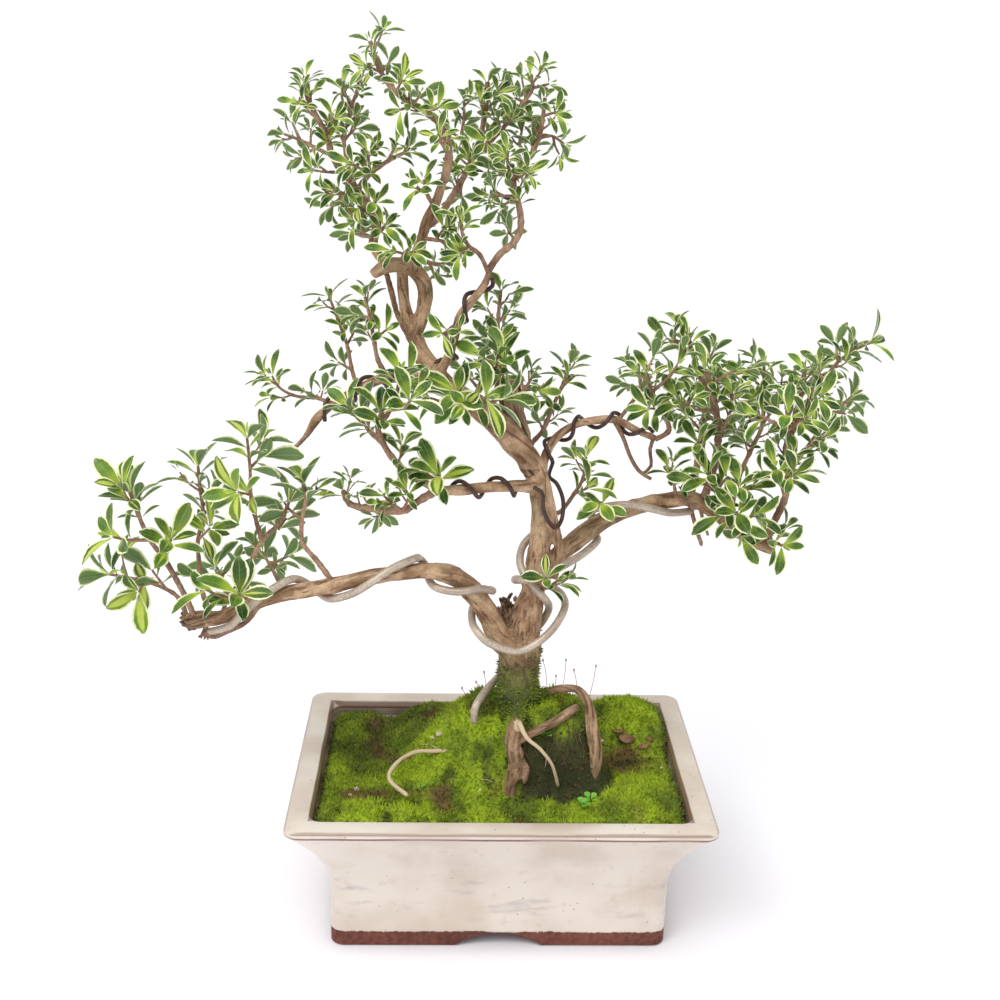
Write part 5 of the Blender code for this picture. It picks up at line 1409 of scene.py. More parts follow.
# %% The tuft's other leaves
# Below the solids' crossed pairs grow older, flatter leaves, and inside them stand the young
# ones. Each is placed like the others, and left out where it would cross wood. A pair is its
# spread in degrees, its size, how far up the shoot it stands, its youth and its quarter turn.
YOUNG_PAIRS = ((24, 0.62, 0.0004, 1.0, 0), (11, 0.34, 0.0010, 1.0, 1))
OLD_PAIRS = ((84, 0.94, -0.0030, 0.0, 1), (96, 0.84, -0.0062, 0.0, 0))
UPRIGHT = 0.24
DEPTH_LIMIT = 0.082
PAIRS_FOR_LEAF = 0.012


def leaf_mark(draw, young, pale):
    """What kind of leaf it is: its flame, its youth and a place for its under side."""
    flame = draw.uniform(0.3, 0.9) if draw.random() < 0.05 + 0.6 * pale else 0.0
    youth = young * draw.uniform(0.45, 1.0) + pale * draw.uniform(0, 0.3)
    return (flame, min(1, youth), 0, clamped(draw.gauss(0.44, 0.33)))


def raised(place, axis):
    """A leaf's frame turned up a little towards the shoot, as in the tree's narrow tufts."""
    lean = place.col[1].xyz.angle(axis)
    return place @ Matrix.Rotation(UPRIGHT * lean, 4, "X")


def fuller_tuft(tuft, leaf, room, near, draw, pale):
    """The tuft's own leaves and more of them, as (frame, length, mark)."""
    centre, axis, turn, leaves = tuft
    grown = [(f, n, leaf_mark(draw, 0.1, pale)) for f, n in (found for found in leaves if found)]
    absent = [(78, 1.0, -0.0008, 0.0, 0, k) for k in (0, 2) if not leaves[k]]
    absent += [(50, 0.86, 0.0, 0.25, 1, k - 1) for k in (1, 3) if not leaves[k]]
    pairs = absent + [(*pair, k) for pair in YOUNG_PAIRS + OLD_PAIRS for k in (0, 2)]
    for spread, size, up, young, crossed, half in pairs:
        if up < 0 and -up > room:
            continue
        base = centre + axis * up * leaf / PAIRS_FOR_LEAF
        at = turn + math.pi / 2 * (crossed + half) + draw.uniform(-0.25, 0.25)
        length = leaf * size * draw.uniform(0.85, 1.12)
        lean = math.radians(spread + draw.uniform(-9, 9))
        for off, share in ((0, 1), (0.3, 0.9), (-0.3, 0.8)):
            place = leaf_frame(base, axis, at + off, lean, draw.uniform(-0.25, 0.25))
            if is_clear(place, length * share, near, standing.around(base)):
                grown.append((place, length * share, leaf_mark(draw, young, pale)))
                standing.append(blade_entry(place, length * share))
                break
    return [(raised(place, axis), length, mark) for place, length, mark in grown
            if abs((place @ Vector((0, length, 0)) + POT_MIDDLE).y) < DEPTH_LIMIT]


# %% [markdown]
# ## The leafy branches
# Each solid branch is replaced by one piece: its shoots as fine tubes with a swelling at each
# old leaf scar, and all the leaves of its tufts. The shoots that only this script grows get
# their leaves by the same rule.

# %% Leaves by where they are
CELL = 0.02


class LeavesByPlace:
    """The blades that stand so far, found again by the cell of space that they are in."""

    def __init__(self, found):
        self.cells = {}
        for blade in found:
            self.append(blade)

    def key(self, place):
        return tuple(math.floor(c / CELL) for c in place)

    def append(self, blade):
        self.cells.setdefault(self.key(blade[0]), []).append(blade)

    def around(self, place):
        x, y, z = self.key(place)
        return [blade for dx in (-1, 0, 1) for dy in (-1, 0, 1) for dz in (-1, 0, 1)
                for blade in self.cells.get((x + dx, y + dy, z + dz), ())]


standing = LeavesByPlace(blades)

# %% Paler branches, as on the real tree
PALE = {"spray_left_05": 0.75, "spray_left_02": 0.7, "spray_left_01": 0.8, "spray_left_04": 0.5,
        "spray_left_03": 0.45, "spray_trunk_02": 0.9, "spray_trunk_01": 0.5, "spray_middle_04": 0.25,
        "spray_crown_tip": 0.35}
SCAR_EVERY, SCAR_HALF, SCAR_RISE = 0.0045, 0.0009, 0.26
THINNEST_TWIG = 0.40 * MM
GREEN_TIP = 0.010
SMALL_LEAF = 0.0125
leaf_draw = random.Random(41)


def shoot_tube(places, radii):
    """A twig with a swelling at each old leaf scar, green towards its tip."""
    line, radii = smooth_line(places, radii, 0.0018)
    passed, knobbly = 0.0, []
    for i, point in enumerate(line):
        passed += (point - line[i - 1]).length if i else 0
        scar = max(0, 1 - abs((passed % SCAR_EVERY) - SCAR_EVERY / 2) / SCAR_HALF)
        swelling = 1 + SCAR_RISE * scar + 0.1 * noise.noise(point * 400)
        knobbly.append(max(radii[i], THINNEST_TWIG) * swelling)
    bm = tube_mesh(line, knobbly, 6)
    mark = bm.verts.layers.float_color.new("wood_mark")
    run_layer = bm.verts.layers.float_vector.new("wood_run")
    tip = line[-1]
    for vert in bm.verts:
        green = max(0, 1 - (vert.co - tip).length / GREEN_TIP)
        vert[mark] = (0, 0.55 * green, 0.8, 0)
        vert[run_layer] = vert.co * 0.4
    return bm


def grow_branch(name, shoots, found):
    bm = bmesh.new()
    bm.verts.layers.float_color.new("wood_mark")
    bm.verts.layers.float_vector.new("wood_run")
    bm.loops.layers.uv.new("blade")
    bm.verts.layers.float_color.new("leaf_mark")
    for places, radii in shoots:
        join(bm, shoot_tube(places, radii))
    for face in bm.faces:
        face.material_index = 1
    for frame_of_leaf, length, mark in found:
        before = len(bm.verts)
        bm.from_mesh(leaf_draw.choice(blade_meshes))
        bm.verts.ensure_lookup_table()
        new = bm.verts[before:]
        under_layer = bm.verts.layers.float["under"]
        mark_layer = bm.verts.layers.float_color["leaf_mark"]
        for vert in new:
            vert[mark_layer] = (mark[0], mark[1], vert[under_layer], mark[3])
        width = leaf_draw.uniform(0.76, 1.0) if length < SMALL_LEAF else leaf_draw.uniform(0.86, 1.1)
        size = Matrix.Diagonal((length * width, length, length, 1))
        bmesh.ops.transform(bm, matrix=frame_of_leaf @ size, verts=new)
    replaced = [name] if name in frame["nodes"] else []
    return settle(name + "_leaves", bm, [leaf_finish, bark_finish], replaced)


# %% Where shoots and twigs carry leaves
# The share of a shoot that is bare, by the part of the tree that the branch belongs to
BARE_TO = {"left": 0.60, "trunk": 0.50, "middle": 0.40, "right": 0.40, "crown": 0.34}
LEAFY_TO = 0.97
TWIG_SPACING = 0.62
TWIG_TURN = 2.4
SIDE_TWIG_RADIUS = 0.6


def side_twigs(line, leaf, draw, low, high):
    """Short twigs along a shoot, each leaning out and up, as lists of places."""
    count = int(line_length(line) * (high - low) / (leaf * TWIG_SPACING))
    turn = draw.uniform(0, 6.28)
    twigs = []
    for k in range(count):
        start, ahead, *_ = place_along(line, low + (high - low) * (k + draw.uniform(0.2, 0.8)) / count)
        turn += TWIG_TURN + draw.uniform(-0.4, 0.4)
        out = Matrix.Rotation(turn, 3, ahead) @ ahead.orthogonal().normalized()
        way = (ahead * 0.6 + out + Vector((0, 0, 0.35))).normalized()
        size = leaf * draw.uniform(0.45, 0.95)
        bend = (way + Vector((0, 0, 0.5))).normalized()
        twigs.append([start, start + way * size * 0.5, start + way * size * 0.5 + bend * size * 0.5])
    return twigs


def new_tuft(places, radius, leaf, pale):
    """The leaves at the end of a shoot that only this script grows."""
    line, _ = smooth_line(places, [radius * MM] * len(places), 0.018)
    if abs((line[-1] + POT_MIDDLE).y) > DEPTH_LIMIT - 0.006:
        return []
    near = near_stems(line[-1], leaf, obstacles)
    tuft = grow_tuft(line, leaf, (0, 1, 2, 3), leaf_draw, near, standing.around(line[-1]))
    for found in tuft[3]:
        if found:
            standing.append(blade_entry(*found))
    return fuller_tuft(tuft, leaf, line_length(line), near, leaf_draw, pale)


def all_tufts():
    """Every branch's shoots and leaves, those of the solids first."""
    plan = {name: ([], []) for name in leafy_branches}
    grown_on = []

    def grow_shoot(name, radius, places):
        points = [seen(p) for p in places]
        plan[name][0].append((points, shoot_radii(radius, len(points))))
        grown_on.append((name, points))
        return points

    for name, (leaf, lines) in leafy_branches.items():
        for (radius, places), (line, _), tuft in zip(SPRAYS[name][1], lines, tufts[name]):
            grow_shoot(name, radius, places)
            near = near_stems(line[-1], leaf, obstacles)
            plan[name][1].extend(fuller_tuft(tuft, leaf, line_length(line), near, leaf_draw,
                                             PALE.get(name, 0.0)))
    for name, extra in MORE_SHOOTS.items():
        for radius, places in extra:
            points = grow_shoot(name, radius, places)
            plan[name][1].extend(new_tuft(points, radius, leafy_branches[name][0], PALE.get(name, 0.0)))
    for name, points in grown_on:
        leaf = leafy_branches[name][0]
        line, _ = smooth_line(points, [0] * len(points), 0.004)
        for twig in side_twigs(line, leaf, leaf_draw, BARE_TO[name.split("_")[1]], LEAFY_TO):
            found = new_tuft(twig, SIDE_TWIG_RADIUS, leaf * leaf_draw.uniform(0.72, 0.95),
                             PALE.get(name, 0.0))
            if found:
                plan[name][0].append((twig, shoot_radii(SIDE_TWIG_RADIUS, len(twig))))
                plan[name][1].extend(found)
    return plan


branch_plan = all_tufts()
for name, (shoots, leaves) in branch_plan.items():
    grow_branch(name, shoots, leaves)
print(len(branch_plan), "branches with", sum(len(leaves) for _, leaves in branch_plan.values()), "leaves")

# %% [markdown]
# ## The wires
# The solids' wires have few sides. Finer tubes along the same winding replace them.


# %% Finer wires
for name, (radius, stretches) in WIRES.items():
    finish, slot = (silver_finish, "silver_wire") if radius == HEAVY_WIRE else (brown_finish, "brown_wire")
    settle(name + "_rod", tube_mesh(*wire_line(stretches, radius * MM, 0.0016), 12), [finish], [name])
print("wires:", ", ".join(WIRES))

# %% [markdown]
# ## Moss
# The mat is a fine grid over the same swellings as the solid, drawn in to the pot's mouth at
# its border and raised into small cushions. Thousands of little shoots stand on it, because
# moss seen from a step away is a fringe of points and not a smooth lump.

# %% The ground's height
# The height of the level bed of moss
GROUND_LEVEL = 0.066
# Each swelling of the ground: centre x and y, spread in x and y, and height
SWELLINGS = (
    (0.001, 0.002, 0.026, 0.019, 0.039),
    (-0.030, 0.030, 0.026, 0.020, 0.016),
    (0.066, 0.038, 0.024, 0.018, 0.018),
    (0.070, -0.035, 0.022, 0.016, 0.005),
    (-0.060, -0.046, 0.030, 0.010, 0.004),
    (-0.070, 0.028, 0.020, 0.022, -0.006),
)
# The steep root ball: its centre x and y, half its width and depth, and its rise
ROOT_BALL = (0.0225, -0.004, 0.0255, 0.0225, 0.040)


def ground_height(x, y):
    """The top of the moss: a level bed with soft swellings and a fine unevenness."""
    height = GROUND_LEVEL
    for centre_x, centre_y, spread_x, spread_y, rise in SWELLINGS:
        far = ((x - centre_x) / spread_x) ** 2 + ((y - centre_y) / spread_y) ** 2
        height += rise * math.exp(-far**1.3 / 1.6)
    fine = math.sin(x * 310 + 1.3) * math.sin(y * 290 + 0.4) + 0.6 * math.sin(x * 170 + y * 210)
    return height + 0.0007 * fine


def moss_height(x, y):
    """The ground's top with the steep root ball."""
    centre_x, centre_y, half_width, half_depth, rise = ROOT_BALL
    far = ((x - centre_x) / half_width) ** 4 + ((y - centre_y) / half_depth) ** 4
    return max(ground_height(x, y), GROUND_LEVEL + rise * math.exp(-far**1.5))


def moss_detail(x, y):
    """Cushions and their grain, over the ground's height."""
    place = Vector((x, y, 0))
    cushions = 0.0025 * (1 - 1.7 * abs(noise.noise(place * 85))) + 0.0022 * noise.noise(place * 45)
    grain = 0.0008 * noise.noise(place * 330) + 0.0005 * noise.noise(place * 800)
    lumps = rootball_dark(x, y) * (0.0030 * noise.noise(place * 210) + 0.0016 * noise.noise(place * 520))
    return cushions + grain + lumps


def step(low, high, value):
    share = clamped((value - low) / (high - low))
    return share * share * (3 - 2 * share)


def rootball_dark(x, y):
    """How much of the root ball's dark soil shows, on its steep front and right sides, where its dark
    colour also carries painted shade.
    """
    centre_x, centre_y, half_width, half_depth, _ = ROOT_BALL
    place = Vector((x, y, 0.4))
    x += 0.0022 * noise.noise(place * 150) + 0.0014 * noise.noise(place * 480)
    y += 0.0022 * noise.noise(place * 150 + Vector((7, 7, 7)))
    far = ((x - centre_x) / half_width) ** 4 + ((y - centre_y) / half_depth) ** 4
    side = step(0.15, 0.55, far) * step(4.0, 2.2, far)
    return side * step(0.006, -0.006, y) * step(0.004, 0.012, x)


# %% The mat over the soil
MOUTH_X, MOUTH_Y, MOUTH_CORNER = 0.0878, 0.0588, 0.012


def into_mouth(x, y):
    """Moves a place at a square corner onto the mouth's rounded corner."""
    over_x, over_y = abs(x) - (MOUTH_X - MOUTH_CORNER), abs(y) - (MOUTH_Y - MOUTH_CORNER)
    if over_x > 0 and over_y > 0:
        far = math.hypot(over_x, over_y)
        share = max(over_x, over_y) / far
        x = math.copysign(MOUTH_X - MOUTH_CORNER + over_x * share, x)
        y = math.copysign(MOUTH_Y - MOUTH_CORNER + over_y * share, y)
    return x, y


def moss_top(x, y):
    edge = min(MOUTH_X - abs(x), MOUTH_Y - abs(y))
    down = 0.0035 * (1 - min(edge / 0.005, 1)) ** 2
    return moss_height(x, y) + moss_detail(x, y) - down


# Each spot: centre x and y, spread in x and y, and strength
BROWN_SPOT = (0.062, 0.004, 0.016, 0.010, 1.2)
DARK_SPOTS = ((-0.074, 0.020, 0.013, 0.024, 0.8), (-0.052, 0.034, 0.026, 0.015, 0.85))


def spot(x, y, numbers):
    centre_x, centre_y, spread_x, spread_y, strength = numbers
    return strength * math.exp(-(((x - centre_x) / spread_x) ** 2 + ((y - centre_y) / spread_y) ** 2))


def moss_colours(x, y):
    """Brown patches of the moss at a place, and how dark it is: dark soil and dark spots, and painted shade
    in its hollows and along the mat's border.
    """
    place = Vector((x, y, 0))
    brown = clamped(3.0 * (noise.noise(place * 55 + Vector((5, 3, 1))) - 0.18))
    brown = max(brown, spot(x, y, BROWN_SPOT))
    # The root ball's face is dark soil with painted shade over it; dark spots on the moss join it
    dark = max(rootball_dark(x, y), *(spot(x, y, dark_spot) for dark_spot in DARK_SPOTS))
    # Painted shade where the cushions dip, and a painted shadow along the mat's border by the pot's wall
    painted_shade = 0.75 * step(0.0010, -0.0002, moss_detail(x, y))
    painted_shade = max(painted_shade, 0.8 * step(0.0050, 0.0012, min(MOUTH_X - abs(x), MOUTH_Y - abs(y))))
    return min(brown, 1), min(max(dark, painted_shade), 1)


def moss_mat():
    bm = bmesh.new()
    bmesh.ops.create_grid(bm, x_segments=150, y_segments=100, size=0.5)
    mark = bm.verts.layers.float_color.new("moss_mark")
    upper = list(bm.verts)
    bmesh.ops.extrude_face_region(bm, geom=list(bm.faces))
    kept = set(upper)
    for vert in bm.verts:
        x, y = into_mouth(vert.co.x * 2 * MOUTH_X, vert.co.y * 2 * MOUTH_Y)
        brown, dark = moss_colours(x, y)
        low = vert in kept
        vert.co = Vector((x, y, moss_top(x, y) - (0.004 if low else 0)))
        # The third mark is the moss's dark: dark soil and painted shade
        vert[mark] = (0.15, brown, dark, 1)
    bmesh.ops.recalc_face_normals(bm, faces=bm.faces)
    return bm


settle("moss_mat", moss_mat(), [moss_finish], ["moss"])

# %% Moss shoots
moss_draw = random.Random(12)
SLOPE_STEP = 0.001


def moss_cone(bm, place, way, radius, height, tip_mark, foot_mark):
    """A small cone whose middle is at a place, brighter at its tip."""
    mark = bm.verts.layers.float_color["moss_mark"]
    made = bmesh.ops.create_cone(bm, cap_ends=True, segments=3, radius1=radius, radius2=0, depth=height)
    lay = Matrix.Translation(place) @ way.to_track_quat("Z", "Y").to_matrix().to_4x4()
    for vert in made["verts"]:
        vert[mark] = tip_mark if vert.co.z > 0 else foot_mark
        vert.co = lay @ vert.co


def moss_slope(x, y):
    """The way that a shoot grows on the mat, less steep than the mat's own normal."""
    slope_x = (moss_top(x + SLOPE_STEP, y) - moss_top(x - SLOPE_STEP, y)) / (2 * SLOPE_STEP)
    slope_y = (moss_top(x, y + SLOPE_STEP) - moss_top(x, y - SLOPE_STEP)) / (2 * SLOPE_STEP)
    return Vector((-slope_x * 0.7, -slope_y * 0.7, 1)).normalized()


def moss_patch(low_x, high_x):
    """A hundred tries for moss shoots on the mat, fewer of them on dark soil and at the front."""
    bm = bmesh.new()
    bm.verts.layers.float_color.new("moss_mark")
    for _ in range(100):
        x = moss_draw.uniform(low_x, high_x)
        y = moss_draw.uniform(-MOUTH_Y + 0.001, MOUTH_Y - 0.001)
        on_soil = 0.8 * rootball_dark(x, y) > moss_draw.random()
        if on_soil or step(0.0055, 0.002, MOUTH_Y + y) > moss_draw.random():
            continue
        x, y = into_mouth(x, y)
        lean = Vector((moss_draw.gauss(0, 0.22), moss_draw.gauss(0, 0.22), 0))
        up = (moss_slope(x, y) + lean).normalized()
        height = moss_draw.uniform(0.0014, 0.0032)
        radius, bright = moss_draw.uniform(0.00035, 0.0006), moss_draw.uniform(0.4, 1.0)
        brown, dark = moss_colours(x, y)
        place = Vector((x, y, moss_top(x, y) - 0.0004)) + up * height / 2
        # The shoots take the mat's dark too: dark soil and painted shade
        moss_cone(bm, place, up, radius, height, (bright, brown * 0.8, dark, 1),
                  (0.15, brown * 0.8, dark, 1))
    return bm


for side, (low_x, high_x) in {"left": (-MOUTH_X + 0.001, 0), "right": (0, MOUTH_X - 0.001)}.items():
    moss_shoots = bmesh.new()
    for _ in range(90):
        join(moss_shoots, moss_patch(low_x, high_x))
    settle("moss_shoots_" + side, moss_shoots, [moss_finish], smooth=False)


# %% Moss that climbs the trunk
def bark_moss_patch():
    """A hundred tries for moss shoots on the bark, fewer of them higher up."""
    bm = bmesh.new()
    bm.verts.layers.float_color.new("moss_mark")
    for _ in range(100):
        place, normal = moss_draw.choice(mossy_bark)
        if step(MOSS_CLIMBS_TO, 0.116, place.z) < moss_draw.random():
            continue
        way = (normal + Vector((moss_draw.gauss(0, 0.3), moss_draw.gauss(0, 0.3), 0.35))).normalized()
        height, radius = moss_draw.uniform(0.0012, 0.0026), moss_draw.uniform(0.0003, 0.0005)
        bright, dark = moss_draw.uniform(0.1, 0.8), moss_draw.uniform(0, 0.6)
        moss_cone(bm, place + way * height * 0.4, way, radius, height, (bright, 0.1, dark, 1),
                  (0.05, 0.1, dark, 1))
    return bm


def moss_on_bark():
    bm = bmesh.new()
    for _ in range(24):
        join(bm, bark_moss_patch())
    return bm


settle("moss_on_bark", moss_on_bark(), [moss_finish], smooth=False)
print("moss mat and shoots are laid")

# %% [markdown]
# ## The pot
# The pot is thrown in a mould: a flat rim with rounded lips, walls that sweep in to a short
# upright foot, and arches cut between the feet. One face is extruded down the outside, and the
# top face is drawn in and sunk for the inside, with its corners' rounding kept all the way.

# %% The pot's measures
POT_WIDTH, POT_DEPTH, POT_HEIGHT = 2 * POT_HALF.x, 2 * POT_HALF.y, RIM_TOP
RIM_WIDTH, LIP_HEIGHT, CORNER_RADIUS = 0.011, 0.003, 0.0065
FLARE_IN, FLARE_DROP, WALL, FLOOR_TOP = 0.019, 0.040, 0.008, 0.015
FOOT_HEIGHT, FOOT_WALL, FRONT_ARCH, SIDE_ARCH = 0.008, 0.014, 0.044, 0.032
DRAIN_RADIUS, DRAIN_SPACING = 0.006, 0.070
LIP_ROUND = 0.0018
WALL_STEPS = 16


def pot_flare(drop):
    share = clamped((drop - LIP_HEIGHT) / FLARE_DROP)
    return FLARE_IN * math.sin(share * math.pi / 2)


def drawn_on(bm, face, line, keep_first=False):
    """Extrudes a level face along a line of (distance from the pot's outside, height) pairs."""
    inset = 0.0
    for k, (wanted, height) in enumerate(line):
        made = bmesh.ops.extrude_face_region(bm, geom=[face])["geom"]
        if k or not keep_first:
            bmesh.ops.delete(bm, geom=[face], context="FACES_ONLY")
        face = next(item for item in made if isinstance(item, bmesh.types.BMFace))
        for vert in face.verts:
            vert.co.x -= math.copysign(wanted - inset, vert.co.x)
            vert.co.y -= math.copysign(wanted - inset, vert.co.y)
            vert.co.z = height
        inset = wanted
    return face


# %% Walls, rim and inside
def pot_body():
    bm = bmesh.new()
    corners = [bm.verts.new((x * POT_WIDTH / 2, y * POT_DEPTH / 2, POT_HEIGHT - LIP_HEIGHT))
               for x, y in ((-1, -1), (1, -1), (1, 1), (-1, 1))]
    bm.faces.new(corners)
    bmesh.ops.bevel(bm, geom=corners, offset=CORNER_RADIUS, affect="VERTICES", segments=8, profile=0.5,
                    material=-1)
    bm.faces.ensure_lookup_table()
    over_rim = [(LIP_ROUND * (1 - math.cos(a)), POT_HEIGHT - LIP_ROUND + LIP_ROUND * math.sin(a))
                for a in (math.pi / 8 * k for k in range(5))]
    over_rim += [(RIM_WIDTH - 0.0012, POT_HEIGHT), (RIM_WIDTH - 0.0004, POT_HEIGHT - 0.0004),
                 (RIM_WIDTH, POT_HEIGHT - 0.0012)]
    over_rim += [(max(RIM_WIDTH + 0.001, pot_flare(drop) + WALL), POT_HEIGHT - drop)
                 for drop in (0.003, 0.008, 0.016, 0.026, 0.036, 0.046)]
    over_rim.append((FLARE_IN + WALL + 0.001, FLOOR_TOP))
    under = bm.faces[0]
    drawn_on(bm, under, over_rim, keep_first=True)
    drops = [FLARE_DROP * k / WALL_STEPS for k in range(1, WALL_STEPS + 1)]
    down_wall = [(pot_flare(LIP_HEIGHT + drop), POT_HEIGHT - LIP_HEIGHT - drop) for drop in drops]
    drawn_on(bm, under, down_wall + [(FLARE_IN, 0.0008), (FLARE_IN + 0.0008, 0.0)])
    bmesh.ops.recalc_face_normals(bm, faces=bm.faces)
    return bm


# %% Feet and drain holes
def cut_away(target, cutter):
    modifier = target.modifiers.new("cut", "BOOLEAN")
    modifier.operation = "DIFFERENCE"
    modifier.object = cutter
    modifier.solver = "EXACT"
    mesh = evaluated_mesh(target)
    target.modifiers.clear()
    target.data = mesh
    bpy.data.objects.remove(cutter)


def arch_cutter(width, along):
    radius = (width / 2) ** 2 / (2 * FOOT_HEIGHT) + FOOT_HEIGHT / 2
    turn = Matrix.Rotation(math.pi / 2, 4, "X" if along == "Y" else "Y")
    bm = bmesh.new()
    bmesh.ops.create_cone(bm, segments=96, radius1=radius, radius2=radius, depth=0.4, cap_ends=True,
                          matrix=Matrix.Translation((0, 0, FOOT_HEIGHT - radius - 0.0004)) @ turn)
    return linked("arch", mesh_of(bm, "arch"))


pot_holder = linked("pot_body", mesh_of(pot_body(), "pot_body"))
foot_x, foot_y = POT_WIDTH / 2 - FLARE_IN - FOOT_WALL, POT_DEPTH / 2 - FLARE_IN - FOOT_WALL
recess = bmesh.new()
bmesh.ops.create_cube(recess, size=1, matrix=Matrix.Diagonal((2 * foot_x, 2 * foot_y, 2 * FOOT_HEIGHT, 1)))
cut_away(pot_holder, linked("recess", mesh_of(recess, "recess")))
cut_away(pot_holder, arch_cutter(FRONT_ARCH, "Y"))
cut_away(pot_holder, arch_cutter(SIDE_ARCH, "X"))
for side in (-1, 1):
    drain = bmesh.new()
    hole = Matrix.Translation((side * DRAIN_SPACING / 2, 0, FLOOR_TOP))
    bmesh.ops.create_cone(drain, segments=32, radius1=DRAIN_RADIUS, radius2=DRAIN_RADIUS, depth=0.03,
                          cap_ends=True, matrix=hole)
    cut_away(pot_holder, linked("drain", mesh_of(drain, "drain")))
pot_mesh = bmesh.new()
pot_mesh.from_mesh(pot_holder.data)
bpy.data.objects.remove(pot_holder)
pot_piece = settle("glazed_pot", pot_mesh, [glaze_finish], ["pot"])
for edge in pot_piece.data.edges:
    edge.use_edge_sharp = False
pot_piece.data.set_sharp_from_angle(angle=math.radians(28))
print("pot:", len(pot_piece.data.polygons), "faces")

# %% [markdown]
# ## Small things on the moss
# A few pale stones, chips of bark, thin roots, soil crumbs on the root ball's dark side, some
# small round leaves of a weed and the thin stalks of moss with their spore capsules lie or
# stand where the photograph shows them.


# %% Placing things on the moss
def ground_at(column, row):
    """The place on the moss that the view sees at this column and row."""
    near, far = -90.0, 90.0
    for _ in range(40):
        middle = (near + far) / 2
        place = seen((column, row, middle))
        if place.z > moss_top(place.x, place.y):
            near = middle
        else:
            far = middle
    return seen((column, row, near))


stone_finish = flat_finish("pale_stone", (0.42, 0.34, 0.22), (0.74, 0.64, 0.46), 0.8)
chip_finish = flat_finish("bark_chip", (0.13, 0.06, 0.03), (0.36, 0.19, 0.10), 0.85)
weed_finish = flat_finish("weed_leaf", (0.09, 0.32, 0.03), (0.24, 0.56, 0.06), 0.45)
capsule_finish = flat_finish("moss_capsule", (0.20, 0.05, 0.02), (0.42, 0.14, 0.05), 0.6)

# %% Stones and the bark chip
trim_draw = random.Random(3)


def pebble(place, size, flat, fine=3):
    bm = bmesh.new()
    bmesh.ops.create_icosphere(bm, subdivisions=fine, radius=1)
    for vert in bm.verts:
        vert.co *= 1 + 0.22 * noise.noise(vert.co * 1.4 + place * 900)
        vert.co = Vector((vert.co.x * size, vert.co.y * size * 0.8, vert.co.z * size * flat))
    turn = Matrix.Rotation(trim_draw.uniform(0, 6.28), 4, "Z")
    tilt = Matrix.Rotation(trim_draw.uniform(-0.3, 0.3), 4, "X")
    lift = Matrix.Translation(place + Vector((0, 0, size * flat * 0.3)))
    bmesh.ops.transform(bm, matrix=lift @ (turn @ tilt), verts=bm.verts)
    return bm


# Each stone and each chip: its column and row, and its size in millimetres
STONES = ((439, 734, 2.0), (433, 738, 1.3), (356, 790, 1.8), (350, 795, 1.0), (602, 741, 1.2),
          (480, 790, 1.0), (662, 768, 1.1))
CHIPS = ((628, 738, 5.0), (643, 746, 4.0), (618, 731, 3.2), (650, 738, 2.6))
for name, table, flat, finish in (("pale_stones", STONES, 0.55, stone_finish),
                                  ("bark_chips", CHIPS, 0.22, chip_finish)):
    lying = bmesh.new()
    for column, row, size in table:
        join(lying, pebble(ground_at(column, row), size * MM, flat))
    settle(name, lying, [finish])

# %% Thin roots over the moss, and the hairs that hang on the root ball's dark side
# Each hair: its radius in millimetres and its places as columns and rows
PALE_HAIRS = ((0.55, (389, 778), (393, 786), (399, 792), (407, 795)),
              (0.4, (480, 780), (487, 780), (493, 783)),
              (0.4, (441, 751), (430, 745), (421, 745)), (0.35, (540, 749), (546, 756), (545, 768)))
DARK_HAIRS = ((0.35, (522, 722), (526, 735), (524, 748), (530, 762)),
              (0.3, (548, 724), (551, 737), (547, 750), (550, 760)),
              (0.35, (566, 718), (569, 735), (563, 752), (567, 770)),
              (0.3, (583, 718), (579, 735), (584, 752), (580, 772)),
              (0.3, (536, 726), (533, 742), (538, 757)),
              (0.3, (575, 716), (573, 730), (577, 744), (574, 760)))


def hair_mesh(paths):
    bm = bmesh.new()
    for radius, *path in paths:
        places = [ground_at(column, row) + Vector((0, -0.0005, 0.0004)) for column, row in path]
        line, radii = smooth_line(places, [radius * MM] * len(places), 0.0012)
        join(bm, tube_mesh(line, [r * (1 - 0.6 * i / len(line)) for i, r in enumerate(radii)], 6))
    return bm


hair_finish = flat_finish("dark_root", (0.060, 0.030, 0.014), (0.230, 0.130, 0.070), 0.8)
pale_finish = flat_finish("pale_root", (0.420, 0.300, 0.170), (0.720, 0.580, 0.390), 0.7)
settle("pale_hairs", hair_mesh(PALE_HAIRS), [pale_finish])
settle("dark_hairs", hair_mesh(DARK_HAIRS), [hair_finish])
crumb_finish = flat_finish("soil_crumb", (0.018, 0.011, 0.006), (0.110, 0.065, 0.035), 0.9)
crumb_draw = random.Random(31)
CRUMB_TRIES = 170
crumbs = bmesh.new()
for _ in range(CRUMB_TRIES):
    column, row = crumb_draw.uniform(520, 592), crumb_draw.uniform(722, 800)
    place = ground_at(column, row)
    if rootball_dark(place.x, place.y) > 0.4:
        join(crumbs, pebble(place, crumb_draw.uniform(0.35, 1.0) * MM, 0.8, 2))
print("thin roots and crumbs of", len(crumbs.faces), "faces")
settle("soil_crumbs", crumbs, [crumb_finish])

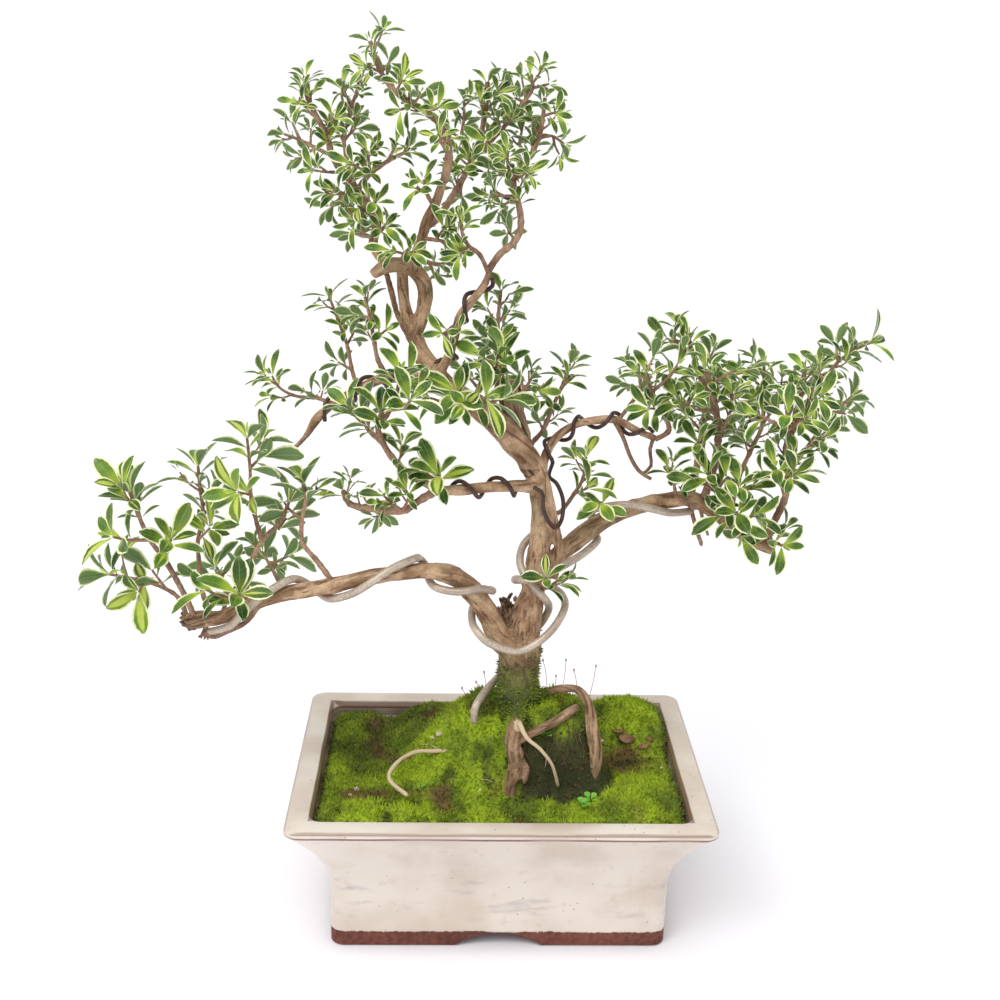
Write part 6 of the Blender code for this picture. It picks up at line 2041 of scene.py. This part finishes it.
# %% Weed leaves and spore stalks
# Each weed: its column, its row and its count of leaves
WEEDS = ((546, 737, 4), (583, 806, 5), (590, 801, 4), (420, 790, 2))
weeds = bmesh.new()
for column, row, count in WEEDS:
    foot = ground_at(column, row) + Vector((0, -0.0006, 0.0014))
    for k in range(count):
        angle = 2 * math.pi * k / count + trim_draw.uniform(-0.4, 0.4)
        out = Vector((math.cos(angle), math.sin(angle) - 0.5, 1.0)).normalized()
        leaf = leaf_blade(0.05, 0.6, 0.0, width=2.1, rows=5)
        lay = leaf_frame(foot, Vector((0, 0, 1)), angle, math.radians(trim_draw.uniform(45, 75)), 0)
        size = Matrix.Scale(trim_draw.uniform(0.0028, 0.0042), 4)
        bmesh.ops.transform(leaf, matrix=lay @ size, verts=leaf.verts)
        join(weeds, leaf)
settle("weed_leaves", weeds, [weed_finish])

# Each stalk: the column and row of its foot and of its tip
STALKS = ((486, 690, 484, 672), (492, 694, 476, 682), (548, 690, 543, 660), (560, 690, 566, 660),
          (578, 692, 574, 670), (585, 694, 596, 666), (552, 692, 556, 676), (470, 700, 462, 688))
STALK_DEPTH = -4
STALK_RADIUS = 0.14 * MM
CAPSULE = Matrix.Diagonal((0.0004, 0.0004, 0.0009, 1))
stalks = bmesh.new()
for column, row, tip_column, tip_row in STALKS:
    foot, tip = seen((column, row, STALK_DEPTH)), seen((tip_column, tip_row, STALK_DEPTH))
    foot.z = moss_top(foot.x, foot.y) - 0.001
    bend = foot.lerp(tip, 0.6) + Vector((0.0006, 0, 0.0012))
    join(stalks, tube_mesh(*smooth_line([foot, bend, tip], [STALK_RADIUS] * 3, 0.002), 4))
    capsule = bmesh.new()
    bmesh.ops.create_icosphere(capsule, subdivisions=2, radius=1, matrix=Matrix.Translation(tip) @ CAPSULE)
    join(stalks, capsule)
settle("spore_stalks", stalks, [capsule_finish])
print("small things are placed")

# %% The soil keeps its solid and gets a finish
soil_node = frame["nodes"]["soil"]
for slot_of_soil in soil_node.material_slots:
    slot_of_soil.material = soil_finish

# %% [markdown]
# ## Floor, light and camera
# The photograph is high-key: a white ground that fades into a white backdrop, with only a soft
# shadow close to the pot. A large pale floor, a white world that is brighter to the camera
# than it lights, a very wide sun for the soft shadow and a weak window give that. The camera
# is the view that everything was traced through.


# %% Floor and world
floor_finish, _, floor_shader = new_material("pale_floor", 0.9)
floor_shader.inputs["Base Color"].default_value = (0.95, 0.945, 0.99, 1)
floor_shader.inputs["Specular IOR Level"].default_value = 0.1
floor_bm = bmesh.new()
bmesh.ops.create_grid(floor_bm, x_segments=1, y_segments=1, size=60)
floor = linked("floor", mesh_of(floor_bm, "floor"))
floor.data.materials.append(floor_finish)

WORLD_LIGHT, WORLD_SEEN = 0.68, 1.06
world = bpy.data.worlds.new("white_room")
world.use_nodes = True
background = world.node_tree.nodes["Background"].inputs
background["Color"].default_value = (1.0, 1.0, 1.0, 1)
to_camera = add(world.node_tree, "LightPath").outputs["Is Camera Ray"]
strength = add(world.node_tree, "MapRange",
               {"Value": to_camera, "To Min": WORLD_LIGHT, "To Max": WORLD_SEEN})
world.node_tree.links.new(strength.outputs[0], background["Strength"])
bpy.context.scene.world = world
bpy.context.scene.view_settings.view_transform = "Standard"


# %% Soft lights
def aimed_light(name, kind, energy, way):
    """A light that shines along a direction, and the object that holds it."""
    light = bpy.data.lights.new(name, kind)
    light.energy = energy
    holder = linked(name, light)
    holder.rotation_euler = Vector(way).to_track_quat("-Z", "Y").to_euler()
    return light, holder


WINDOW_PLACE = Vector((-0.9, -0.9, 1.6))
TREE_MIDDLE = Vector((0, 0, 0.2))
window, window_holder = aimed_light("window", "AREA", 6, TREE_MIDDLE - WINDOW_PLACE)
window.shape, window.size, window.color = "DISK", 0.7, (1.0, 0.985, 0.96)
window_holder.location = WINDOW_PLACE
sky, _ = aimed_light("sky", "SUN", 1.55, (0.22, 0.34, -1))
sky.angle = math.radians(60)

# %% Camera
camera = bpy.data.cameras.new("camera")
camera.sensor_width = 36
camera.lens = FOCAL / (2 * SHEET_MIDDLE) * camera.sensor_width
camera_object = linked("camera", camera)
turned = Matrix((RIGHT, -BELOW, -AHEAD)).transposed().to_4x4()
turned.translation = EYE * MM + POT_MIDDLE
camera_object.matrix_world = turned
bpy.context.scene.camera = camera_object

# %% The end
bpy.context.view_layer.update()
